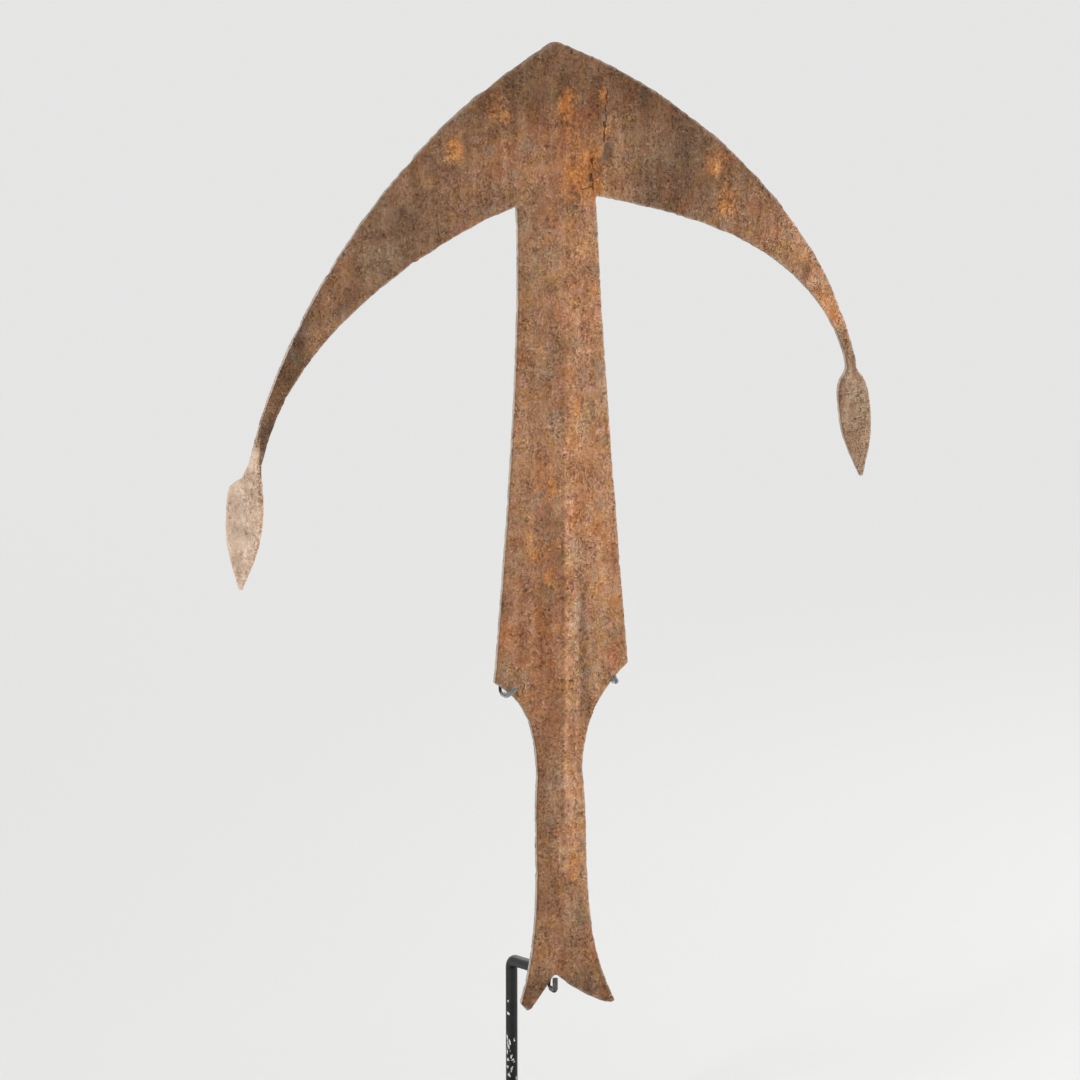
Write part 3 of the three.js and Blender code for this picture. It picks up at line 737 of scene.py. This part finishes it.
# The left leaf's face, painted paler than its rust in part to stand for the light it catches
LEFT_LEAF_RUST_AND_LIGHT = [
    (0.32, (0.270, 0.150, 0.080)),
    (0.48, (0.590, 0.380, 0.250)),
    (0.66, (0.960, 0.810, 0.670)),
]
RIGHT_LEAF_FACE = [
    (0.20, (0.210, 0.132, 0.082)),
    (0.50, (0.365, 0.240, 0.155)),
    (0.80, (0.560, 0.410, 0.290)),
]
STAIN = (0.110, 0.052, 0.025)
PIT = (0.120, 0.048, 0.020)
# Pale flakes, partly painted light on the lit slivers of the right leaf's edge
FLAKE = (0.760, 0.600, 0.450)
LEAF_MOTTLE = (0.240, 0.130, 0.068)
# Painted highlight on rims that face up
TOP_RIM_HIGHLIGHT = (0.420, 0.320, 0.250)
# Painted shade: a dark line just inside the edges that face left
SHADED_EDGE = (0.080, 0.048, 0.034)
# Painted highlight on rims that face right or down, paler on the left leaf
RIM_HIGHLIGHT = (0.620, 0.500, 0.410)
LEAF_RIM_HIGHLIGHT = (0.760, 0.620, 0.510)
# The sides painted paler than the faces, partly as painted light that they catch; paler still on
# the left leaf
SIDE_TONE_AND_LIGHT = (0.330, 0.245, 0.180)
LEAF_SIDE_TONE_AND_LIGHT = (0.620, 0.500, 0.400)
# Painted light on the sides that face left
LIT_SIDE = (0.540, 0.440, 0.350)
NECK_FACE = (0.085, 0.050, 0.032)
CRACKED = (0.045, 0.020, 0.011)

# Tints by which the rust's colour is multiplied
OCHRE = (1.06, 1.03, 0.84)
MAUVE = (0.97, 0.93, 1.06)
UMBER = (0.86, 0.96, 0.97)
RED = (1.05, 0.83, 0.70)
# Stops by which the crumbs are lightened, partly as painted glints
GLINT_AND_CRUMB_STOPS = 0.85

# Cracks near the apex: x, z, half width, half height and how far their edges fade
CRACK_HALF_DEPTH = 1.0
CRACKS = [
    (27.9, 606.0, 0.05, 3.5, 0.50),
    (26.9, 597.5, 0.05, 3.8, 0.60),
    (26.4, 588.0, 0.20, 5.0, 0.85),
    (19.0, 573.4, 0.40, 0.8, 1.1),
    (18.6, 565.2, 0.50, 1.6, 0.9),
    (16.0, 559.8, 3.4, 0.05, 0.45),
    (19.8, 560.5, 0.05, 2.0, 0.5),
]


class Rust(Finish):
    """Fine brown rust with its noises, laid on in layers from the ground up, among them painted
    light and shade.
    """

    def __init__(self):
        super().__init__("rusted_iron")
        sharp = self.noise(11.0, 3.0, 0.6, shift=(0.5, 0.2, 0.6))
        self.coarse = self.spread(sharp, 0.38, 0.62, 0.60, 1.20)
        self.grain = self.scaled(self.noise(1.3, 2.0, 0.55, twist=0.15), self.coarse)
        speck = self.noise(2.6, 3.0, 0.6, twist=0.1, shift=(0.3, 0.1, 0.2))
        self.speck = self.scaled(speck, self.coarse)
        relief = self.noise(2.1, 2.0, 0.5, shift=(0.8, 0.6, 0.1))
        self.relief = self.scaled(relief, self.coarse)
        self.blotch = self.noise(7.0, 4.0, 0.62, twist=0.5)
        zone = self.noise(27.0, 3.0, 0.55, shift=(0.7, 0, 0.4))
        self.streak = self.noise(6.0, 3.0, 0.55, at=self.mapped((1.0, 1.0, 0.16)))
        self.value = self.balanced(
            (self.grain, 0.58), (self.speck, 0.44), (self.relief, 0.24),
            (self.blotch, 0.44), (zone, 0.28), (self.streak, 0.40),
        )

    def ground(self):
        """Brown rust that turns ochre, mauve, umber or red, with ashen patches, made lighter or
        darker by its tone mask, which also carries painted light and shade of the rib.
        """
        hue = self.noise(8.5, 4.0, 0.62, shift=(0.1, 0.5, 0.9))
        warm = self.noise(15.0, 4.0, 0.65, shift=(0.4, 0.9, 0.3))
        dry = self.noise(13.0, 4.0, 0.65, shift=(0.9, 0.2, 0.1))
        base = self.ramp(self.value, *RUST)
        base = self.tinted(base, self.spread(hue, 0.48, 0.66), OCHRE)
        base = self.tinted(base, self.spread(hue, 0.52, 0.34), MAUVE)
        base = self.tinted(base, self.spread(warm, 0.47, 0.32), UMBER)
        red = self.math("ADD", self.spread(warm, 0.50, 0.70, 0.0, 0.80), self.mask("red"))
        base = self.tinted(base, red, RED)
        ashen = self.spread(dry, 0.53, 0.70, 0.0, 0.60)
        grey = self.patchy("grey", self.blotch, 0.30, 0.62, 0.35, 1.0)
        ashen = self.math("MAXIMUM", ashen, grey)
        base = self.mix(ashen, base, self.ramp(self.value, *ASH))
        return self.lit(base, self.mask("tone_and_painted_light"))

    def blooms(self, base):
        """Orange blooms and dark stains."""
        bloom = self.ragged("orange", 1.2, (self.blotch, 1.0), (self.speck, 0.8), (self.grain, 0.5))
        bloom = self.spread(bloom, 0.80, 1.55, 0.0, 0.90)
        base = self.mix(bloom, base, self.ramp(self.value, *BLOOM))
        stain = self.ragged("dark", 1.2, (self.speck, 1.0), (self.grain, 0.8))
        return self.mix(self.spread(stain, 0.88, 1.55, 0.0, 0.62), base, STAIN)

    def pitted(self, base):
        """Small pits, lighter crumbs that are partly painted glints, and pale flakes that are
        partly painted light on the right leaf's lit edge; the pits are rarer on the left leaf.
        """
        holes = self.noise(1.9, 2.0, 0.5, shift=(0.2, 0.8, 0.3))
        holes = self.total((holes, 1.0), (self.coarse, -0.045), (self.mask("left_leaf"), 0.035))
        self.pits = self.spread(holes, 0.215, 0.300, 0.55, 0.0)
        base = self.mix(self.pits, base, PIT)
        glint_and_crumb_noise = self.noise(1.5, 2.0, 0.5, shift=(0.6, 0.4, 0.8))
        glint_and_crumb_noise = self.total((glint_and_crumb_noise, 1.0), (self.coarse, 0.03))
        self.glints_and_crumbs = self.spread(glint_and_crumb_noise, 0.60, 0.78, 0.0, 0.80)
        base = self.mix(self.glints_and_crumbs, base, self.lit(base, GLINT_AND_CRUMB_STOPS))
        return self.mix(self.patchy("pale", self.grain, 0.35, 0.55, 0.4, 1.0), base, FLAKE)

    def leaves(self, base):
        """The cream and brown face of the left leaf, its paleness partly painted light, and the
        dull face of the right one.
        """
        worn = self.balanced((self.blotch, 1.0), (self.speck, 0.7))
        left = self.patchy("left_leaf", worn, 0.28, 0.52, 0.80, 1.0)
        base = self.mix(left, base, self.ramp(self.value, *LEFT_LEAF_RUST_AND_LIGHT))
        mottled = self.ragged("dark", 1.6, (self.speck, 1.0), (self.blotch, 1.2))
        mottled = self.patchy("left_leaf", mottled, 0.60, 1.50, 0.0, 0.80)
        base = self.mix(mottled, base, LEAF_MOTTLE)
        right = self.patchy("right_leaf", self.blotch, 0.30, 0.60, 0.40, 0.90)
        return self.mix(right, base, self.ramp(self.value, *RIGHT_LEAF_FACE))

    def edges(self, base):
        """Painted highlights and a painted shade line along the rims, sides made paler partly as
        painted light, painted light on the sides that face left, and the neck's dark face.
        """
        on_leaf = self.mask("left_leaf")
        rim_highlight = self.mix(on_leaf, RIM_HIGHLIGHT, LEAF_RIM_HIGHLIGHT)
        side_tone_and_light = self.mix(on_leaf, SIDE_TONE_AND_LIGHT, LEAF_SIDE_TONE_AND_LIGHT)
        # The top, rim and left-side layers are painted light, the shade line painted shade, and the
        # side layer partly painted light
        layers = [
            ("painted_top_highlight", 0.30, 0.60, 0.25, 0.65, TOP_RIM_HIGHLIGHT),
            ("painted_shade_line", 0.30, 0.60, 0.25, 0.80, SHADED_EDGE),
            ("painted_rim_highlight", 0.30, 0.60, 0.15, 0.80, rim_highlight),
            ("side", 0.25, 0.60, 0.20, 0.70, side_tone_and_light),
            ("lit_side", 0.22, 0.50, 0.45, 0.95, LIT_SIDE),
            ("wedge", 0.25, 0.60, 1.00, 0.70, NECK_FACE),
        ]
        for name, lo, hi, least, most, colour in layers:
            base = self.mix(self.patchy(name, self.speck, lo, hi, least, most), base, colour)
        return base

    def cracked(self, base):
        """The long crack near the apex and the short ones below it."""
        shaken = self.shaken(3.6, 3.6)
        lines = [
            self.groove(shaken, (x, FRONT, z), (half_wide, CRACK_HALF_DEPTH, half_tall), fade)
            for x, z, half_wide, half_tall, fade in CRACKS
        ]
        cracks = lines[0]
        for line in lines[1:]:
            cracks = self.math("MAXIMUM", cracks, line)
        broken = self.spread(self.speck, 0.34, 0.52, 0.35, 0.88)
        self.broken = self.math("MULTIPLY", cracks, broken)
        return self.mix(self.broken, base, CRACKED)


def rust():
    f = Rust()
    base = f.cracked(f.edges(f.leaves(f.pitted(f.blooms(f.ground())))))
    rough = f.spread(f.balanced((f.grain, 0.5), (f.blotch, 0.5)), 0.3, 0.7, 0.66, 0.90)
    f.set(Base_Color=base, Roughness=rough, Metallic=0.0, IOR=1.45, Specular_IOR_Level=0.16)
    smoother = f.math("SUBTRACT", 1.0, f.math("MULTIPLY", f.mask("left_leaf"), 0.40))
    f.bump(
        (f.blotch, 2.2), (f.streak, 1.9), (f.relief, 1.7), (f.speck, 2.2), (f.grain, 1.0),
        (f.pits, -0.30), (f.glints_and_crumbs, 0.20), (f.broken, -0.7), strength=smoother,
    )
    return f


# The stand's finishes

BLACK = [(0.35, (0.004, 0.004, 0.005)), (0.75, (0.011, 0.011, 0.012))]
PRIMER = [(0.3, (0.42, 0.41, 0.38)), (0.7, (0.80, 0.79, 0.75))]
CLEAR_HAZE = [(0.3, (0.60, 0.62, 0.60)), (0.7, (0.82, 0.84, 0.82))]
# A darker copy of the clear vinyl, painted shade for the fork's sleeve
SHADED_HAZE = [(0.3, (0.10, 0.09, 0.08)), (0.7, (0.30, 0.28, 0.26))]
ZINC = [(0.3, (0.42, 0.42, 0.43)), (0.7, (0.62, 0.62, 0.63))]
WOOL = [(0.3, (0.010, 0.010, 0.011)), (0.7, (0.045, 0.045, 0.048))]


def black_paint(name, worn=False):
    """Black paint, chipped to pale primer where a worn piece's mask says so."""
    f = Finish(name)
    peel = f.noise(1.6, 3.0, 0.5)
    dust = f.noise(9.0, 4.0, 0.65)
    base = f.ramp(dust, *BLACK)
    rough = f.spread(f.total((peel, 0.4), (dust, 0.6)), 0.3, 0.7, 0.38, 0.52)
    layers = [(peel, 0.05), (f.noise(0.5, 2.0, 0.5), 0.02)]
    if worn:
        ragged = f.spread(f.noise(0.9, 3.0, 0.6), 0.3, 0.7, -0.30, 0.30)
        chip = f.spread(f.math("ADD", f.mask("chip"), ragged), 0.46, 0.54)
        base = f.mix(chip, base, f.ramp(f.noise(0.7, 2.0, 0.5), *PRIMER))
        rough = f.math("ADD", rough, f.math("MULTIPLY", chip, 0.35))
        layers.append((chip, -0.10))
    f.set(Base_Color=base, Roughness=rough, IOR=1.5, Specular_IOR_Level=0.32, Metallic=0.0)
    f.bump(*layers)
    return f


def clear_vinyl(name, colours, clear):
    f = Finish(name)
    haze = f.noise(2.2, 3.0, 0.6)
    f.set(Base_Color=f.ramp(haze, *colours))
    f.set(Roughness=f.spread(haze, 0.3, 0.7, 0.05, 0.16), IOR=1.46, Transmission_Weight=clear)
    f.bump((haze, 0.12))
    return f


def plated_steel():
    f = Finish("plated_steel")
    turned = f.noise(0.5, 3.0, 0.5, at=f.mapped((1, 1, 6)))
    f.set(Base_Color=f.ramp(turned, *ZINC), Metallic=1.0)
    f.set(Roughness=f.spread(turned, 0.3, 0.7, 0.22, 0.4))
    f.bump((turned, 0.02))
    return f


def wool_felt():
    f = Finish("wool_felt")
    fibre = f.noise(0.45, 4.0, 0.7, twist=1.5)
    nap = f.noise(3.0, 3.0, 0.6)
    f.set(Base_Color=f.ramp(f.total((fibre, 0.7), (nap, 0.3)), *WOOL))
    f.set(Roughness=0.95, Sheen_Weight=0.35, Sheen_Roughness=0.5)
    f.bump((nap, 0.10), (fibre, 0.12))
    return f


# Pieces

def hook_route(hook):
    """A shoulder hook's corners, from its tip to the level bar."""
    tip = (hook["x"] + hook["lean"], HOOK_FRONT, hook["run"] + HOOK_TIP_RISE)
    back = (hook["x"], HOOK_BACK, hook["run"])
    front = (hook["x"], HOOK_FRONT, hook["run"])
    return [tip, front, back, (hook["x"], HOOK_BACK, BAR_HEIGHT)]


def beyond(here, there, extra):
    """The point past there, on the line from here."""
    here, there = Vector(here), Vector(there)
    return here + (there - here).normalized() * ((there - here).length + extra)


def sleeve(name, back, front, tip):
    """A clear tube from just past the hook's leg to just past its tip."""
    start = Vector(back) + (Vector(front) - Vector(back)).normalized() * SLEEVE_FROM_LEG
    corners = [start, front, beyond(front, tip, SLEEVE_PAST_TIP)]
    size = (SLEEVE_RADIUS, WIRE_BEND, SLEEVE_SIDES, SLEEVE_STEP)
    return swept(name, corners, *size, SLEEVE_SOFT, SLEEVE_BORE)


def wire(name, corners):
    return swept(name, corners, WIRE_RADIUS, WIRE_BEND, WIRE_SIDES, WIRE_STEP, WIRE_SOFT)


def braze(name, centre, reach, seed):
    """A lumpy fillet where a wire is brazed to the post."""
    shape = bmesh.new()
    for i in range(BRAZE_LUMPS):
        bmesh.ops.create_icosphere(shape, subdivisions=3, radius=1.0)
    points = np.array([v.co[:] for v in shape.verts]).reshape(BRAZE_LUMPS, -1, 3)
    across, deep, tall = reach
    lump = np.array([across * 0.8, deep, min(across, tall) * 0.7])
    half = BRAZE_LUMPS // 2
    for i in range(BRAZE_LUMPS):
        share = (i - half) / half
        swell = (0.62 + 0.3 * math.cos(share * 1.3)) * (1 + 0.12 * math.sin(seed + 2.1 * i))
        sway = 0.55 * math.sin(seed + 1.7 * i)
        offset = np.array([sway, 0.0, share]) * reach * (0.5, 1, 0.72)
        points[i] = points[i] * swell * lump + offset
    for vertex, place in zip(shape.verts, points.reshape(-1, 3)):
        vertex.co = Vector(place + centre) * MM
    mesh = bpy.data.meshes.new(name)
    shape.to_mesh(mesh)
    shape.free()
    piece = remeshed(linked(name, mesh), BRAZE_VOXEL)
    points = vertices(piece)
    crust = BRAZE_CRUST * (1 + fractal(points, 1.6, 2, seed))
    set_vertices(piece, points - normals(piece) * crust[:, None])
    return piece


def rounded_outline(width, depth, corner, steps):
    """A rectangle with round corners, about the middle."""
    points = []
    for quarter, (sx, sy) in enumerate([(1, 1), (-1, 1), (-1, -1), (1, -1)]):
        for i in range(steps + 1):
            angle = (quarter + i / steps) * math.pi / 2
            x = sx * (width / 2 - corner) + corner * math.cos(angle)
            y = sy * (depth / 2 - corner) + corner * math.sin(angle)
            points.append((x, y))
    return points


def layered(name, levels):
    """A slab from outlines at rising heights, closed by flat caps."""
    count = len(levels[0][0])
    points = [(x, y, z) for outline, z in levels for x, y in outline]
    faces = []
    for level in range(len(levels) - 1):
        for k in range(count):
            n = (k + 1) % count
            a, b = level * count, (level + 1) * count
            faces.append((a + k, a + n, b + n, b + k))
    faces.append(tuple(reversed(range(count))))
    top = (len(levels) - 1) * count
    faces.append(tuple(range(top, top + count)))
    return mesh_of(name, points, faces)


def lathe(name, profile, centre, sides):
    """A turned solid from a profile of radii and heights."""
    turns = [2 * math.pi * k / sides for k in range(sides)]
    circle = [(math.cos(t), math.sin(t)) for t in turns]
    return layered(name, [
        ([(centre[0] + r * across, centre[1] + r * deep) for across, deep in circle], z)
        for r, z in profile
    ])


def inset_outline(size, inset, steps):
    """The rounded outline of a plate or pad, drawn in by inset."""
    width, depth = size
    return rounded_outline(width - 2 * inset, depth - 2 * inset, BASE_CORNER - inset, steps)


def base_slab():
    """The plate with round edges, its screw hole and the post's socket."""
    levels = []
    for i in range(BASE_BEVEL_STEPS + 1):
        angle = math.pi / 2 * i / BASE_BEVEL_STEPS
        inset = BASE_BEVEL * (1 - math.sin(angle))
        levels.append((inset, BASE_BOTTOM + BASE_BEVEL * (1 - math.cos(angle))))
    levels += [(inset, BASE_TOP + BASE_BOTTOM - z) for inset, z in reversed(levels)]
    outlines = [(inset_outline(BASE_SIZE, inset, BASE_CORNER_STEPS), z) for inset, z in levels]
    slab = layered("base_slab", outlines)
    cutter = lathe("cutter", BASE_HOLE, (0, POST_Y), HOLE_SIDES)
    cut = slab.modifiers.new("Cut", "BOOLEAN")
    cut.operation = "DIFFERENCE"
    cut.solver = "EXACT"
    cut.object = cutter
    applied(slab)
    bpy.data.objects.remove(cutter)
    slab.data.set_sharp_from_angle(angle=math.radians(40))
    return slab


def felt_pad():
    """The felt with soft, slightly frayed edges."""
    outlines = []
    for inset, z in FELT_SECTION:
        outline = np.array(inset_outline(FELT_SIZE, inset, FELT_CORNER_STEPS))
        fine = []
        for here, there in zip(outline, np.roll(outline, -1, 0)):
            pieces = max(1, int(np.hypot(*(there - here)) / FELT_STEP))
            fine += [here + (there - here) * k / pieces for k in range(pieces)]
        outlines.append((fine, z))
    assert len({len(outline) for outline, z in outlines}) == 1
    pad = layered("felt_pad", outlines)
    points = vertices(pad)
    outward = points * (1, 1, 0)
    outward /= np.linalg.norm(outward, axis=1)[:, None]
    fray = FELT_FRAY * (1 + fractal(points, 2.5, 2, 61))
    set_vertices(pad, points - outward * fray[:, None])
    return pad


# Bare patches low on the post: turn round it in degrees from the front, height, half width,
# half height and slant
CHIPS = [
    (-69, 101.7, 0.55, 0.65, 0), (-68, 94.7, 0.85, 0.95, 0), (-80, 80.5, 0.8, 1.6, 0),
    (-3, 79.1, 0.5, 1.1, 0.1), (-52, 78.2, 0.5, 1.5, -0.6), (-66, 75.6, 0.55, 2.3, -0.5),
    (-82, 72.0, 0.5, 1.5, -0.2), (-37, 69.2, 0.6, 1.3, 0.5), (-17, 67.6, 0.7, 0.8, 0.6),
    (-6, 66.4, 0.55, 0.7, 0), (-70, 67.1, 0.6, 0.9, 0.4), (-77, 63.2, 0.7, 0.8, 0),
    (-30, 62.0, 0.5, 1.6, 0.5), (-58, 58.5, 0.7, 1.2, -0.3), (20, 56.0, 0.5, 0.9, 0.2),
    (-84, 52.0, 0.6, 1.7, 0), (-12, 47.5, 0.7, 0.9, -0.4), (-48, 43.0, 0.5, 1.4, 0.3),
    (150, 70.0, 0.6, 1.2, 0.2), (95, 60.5, 0.5, 1.0, -0.2), (-65, 34.0, 0.8, 1.0, 0),
    (60, 38.0, 0.6, 1.3, 0.4), (175, 46.0, 0.5, 1.5, 0), (-20, 26.0, 0.6, 1.0, 0.2),
]
CHIP_LEAN = 0.6
CHIP_FALL = 0.5
CHIPS_FROM_Y = 15


def chips(points):
    """How bare the post is, from 0 to 1."""
    turn = np.arctan2(points[:, 0], POST_Y - points[:, 1])
    best = np.zeros(len(points))
    for degrees, height, half_width, half_height, slant in CHIPS:
        up = points[:, 2] - height
        swing = np.angle(np.exp(1j * (turn - math.radians(degrees))))
        aside = POST_RADIUS * swing - slant * up * CHIP_LEAN
        far = np.hypot(aside / half_width, up / half_height)
        best = np.maximum(best, 1 - CHIP_FALL * far)
    return np.clip(best, 0, 1) * (points[:, 1] > CHIPS_FROM_Y)


def forged_blade():
    """The blade's solid as an even, closed skin, forged."""
    piece = linked("forged_blade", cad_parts["blade"].data.copy())
    weld = bmesh.new()
    weld.from_mesh(piece.data)
    bmesh.ops.remove_doubles(weld, verts=weld.verts, dist=WELD_REACH * MM)
    weld.to_mesh(piece.data)
    weld.free()
    remeshed(piece, BLADE_VOXEL)
    forge(piece)
    return piece


blade = forged_blade()
post = swept("post_rod", POST_ROUTE, POST_RADIUS, POST_BEND, POST_SIDES, POST_STEP, POST_SOFT)
set_mask(post, "chip", chips(vertices(post)))
left_route = hook_route(LEFT_HOOK)
right_route = hook_route(RIGHT_HOOK)
hook_bar = wire("hook_bar_wire", left_route + right_route[::-1])
fork_hook = wire("fork_hook_wire", FORK_ROUTE)
left_sleeve = sleeve("left_sleeve_tube", *left_route[2::-1])
right_sleeve = sleeve("right_sleeve_tube", *right_route[2::-1])
low_sleeve = sleeve("fork_sleeve_tube", *FORK_ROUTE[1:])
bar_braze = braze("bar_braze", *BAR_BRAZE)
fork_braze = braze("fork_braze", *FORK_BRAZE)
slab = base_slab()
felt = felt_pad()

iron = rust()
paint = black_paint("black_paint")
chipped = black_paint("chipped_black_paint", worn=True)
vinyl = clear_vinyl("clear_vinyl", CLEAR_HAZE, 0.90)
# The fork's sleeve is the same clear vinyl, darkened as painted shade
shaded_vinyl = clear_vinyl("shaded_vinyl", SHADED_HAZE, 0.70)

MADE = [
    (blade, "blade", "rusted_iron", iron, ["blade"]),
    (post, "stand", "black_paint", chipped, ["post"]),
    (hook_bar, "stand", "black_paint", paint, ["hook_bar"]),
    (fork_hook, "stand", "black_paint", paint, ["fork_hook"]),
    (left_sleeve, "stand", "clear_vinyl", vinyl, ["left_hook_sleeve"]),
    (right_sleeve, "stand", "clear_vinyl", vinyl, ["right_hook_sleeve"]),
    (low_sleeve, "stand", "clear_vinyl", shaded_vinyl, ["fork_hook_sleeve"]),
    (bar_braze, "stand", "black_paint", paint, []),
    (fork_braze, "stand", "black_paint", paint, []),
    (slab, "stand", "black_paint", paint, ["base_plate"]),
    (felt, "stand", "felt", wool_felt(), ["base_felt"]),
]
for piece, body, slot, finish, nodes in MADE:
    dress(piece, finish)
    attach(piece, body)
    if nodes:
        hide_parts(*nodes)
dress(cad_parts["post_screw"], plated_steel())


# Floor, light and camera

FLOOR_REACH = 14
FLOOR_COLOUR = (0.70, 0.70, 0.695)
FAR_COLOUR = (0.785, 0.785, 0.78)
# The floor turns into the far colour between these distances, in metres
FLOOR_FADE = (0.5, 1.5)
WORLD_LIGHT = 0.30
WORLD_SEEN = 1.0

# Lamps: name, place, width and height in metres, and watts. All aim at LAMP_AIM.
LAMP_AIM = (0.0, 0.0, 0.35)
LAMPS = [
    ("key_right", (2.1, -1.15, 1.1), (0.7, 1.2), 60),
    ("strip_left", (-2.35, -0.60, 0.75), (0.5, 1.5), 42),
    ("top", (0.1, 0.2, 3.2), (2.4, 2.4), 40),
    ("back", (0.6, 2.4, 1.3), (1.4, 1.4), 18),
]


def lamp(name, place, size, watts):
    light = bpy.data.lights.new(name, "AREA")
    light.shape = "RECTANGLE"
    light.size, light.size_y = size
    light.energy = watts
    rig = bpy.data.objects.new(name, light)
    bpy.context.scene.collection.objects.link(rig)
    rig.location = place
    rig.rotation_mode = "QUATERNION"
    rig.rotation_quaternion = (Vector(LAMP_AIM) - Vector(place)).to_track_quat("-Z", "Y")


def seen_straight(finish_tree):
    """1 where the camera sees a surface itself, in a reflection or through something clear."""
    paths = finish_tree.nodes.new("ShaderNodeLightPath")
    result = paths.outputs["Is Camera Ray"]
    for ray in ("Is Glossy Ray", "Is Transmission Ray"):
        node = finish_tree.nodes.new("ShaderNodeMath")
        node.operation = "MAXIMUM"
        finish_tree.links.new(result, node.inputs[0])
        finish_tree.links.new(paths.outputs[ray], node.inputs[1])
        result = node.outputs[0]
    return result


floor_mesh = bpy.data.meshes.new("floor")
quarters = [(-1, -1), (1, -1), (1, 1), (-1, 1)]
floor_corners = [(x * FLOOR_REACH, y * FLOOR_REACH, 0) for x, y in quarters]
floor_mesh.from_pydata(floor_corners, [], [(0, 1, 2, 3)])
floor = linked("floor", floor_mesh)
floor_finish = Finish("floor")
floor_finish.set(Base_Color=FLOOR_COLOUR, Roughness=0.9, Specular_IOR_Level=0.2)
glow = floor_finish.tree.nodes.new("ShaderNodeEmission")
glow.inputs["Color"].default_value = (*FAR_COLOUR, 1.0)
far = floor_finish.spread(floor_finish.vector("LENGTH", floor_finish.place), *FLOOR_FADE)
share = floor_finish.math("MULTIPLY", far, seen_straight(floor_finish.tree))
blend = floor_finish.tree.nodes.new("ShaderNodeMixShader")
surface = floor_finish.tree.nodes["Material Output"].inputs["Surface"]
for socket, value in zip(blend.inputs, (share, floor_finish.shader.outputs[0], glow.outputs[0])):
    floor_finish.feed(socket, value)
floor_finish.feed(surface, blend.outputs[0])
dress(floor, floor_finish)

world = bpy.data.worlds.new("studio")
bpy.context.scene.world = world
world.use_nodes = True
tree = world.node_tree
sky = tree.nodes["Background"]
sky.inputs["Color"].default_value = (*FAR_COLOUR, 1.0)
strength = tree.nodes.new("ShaderNodeMapRange")
tree.links.new(seen_straight(tree), strength.inputs["Value"])
strength.inputs["To Min"].default_value = WORLD_LIGHT
strength.inputs["To Max"].default_value = WORLD_SEEN
tree.links.new(strength.outputs["Result"], sky.inputs["Strength"])

for row in LAMPS:
    lamp(*row)

camera = bpy.data.objects.new("camera", bpy.data.cameras.new("camera"))
bpy.context.scene.collection.objects.link(camera)
turn = math.radians(CAMERA_AZIMUTH)
tilt = math.radians(CAMERA_ELEVATION)
away = Vector((math.sin(turn) * math.cos(tilt), -math.cos(turn) * math.cos(tilt), math.sin(tilt)))
camera.location = (Vector(CAMERA_TARGET) + away * CAMERA_DISTANCE) * MM
camera.rotation_mode = "QUATERNION"
camera.rotation_quaternion = (-away).to_track_quat("-Z", "Y")
camera.data.lens = CAMERA_LENS
camera.data.sensor_width = SENSOR
camera.data.clip_start = NEAR_CLIP_METRES
camera.data.clip_end = FAR_CLIP_METRES
bpy.context.scene.camera = camera
bpy.context.scene.view_settings.view_transform = "Standard"
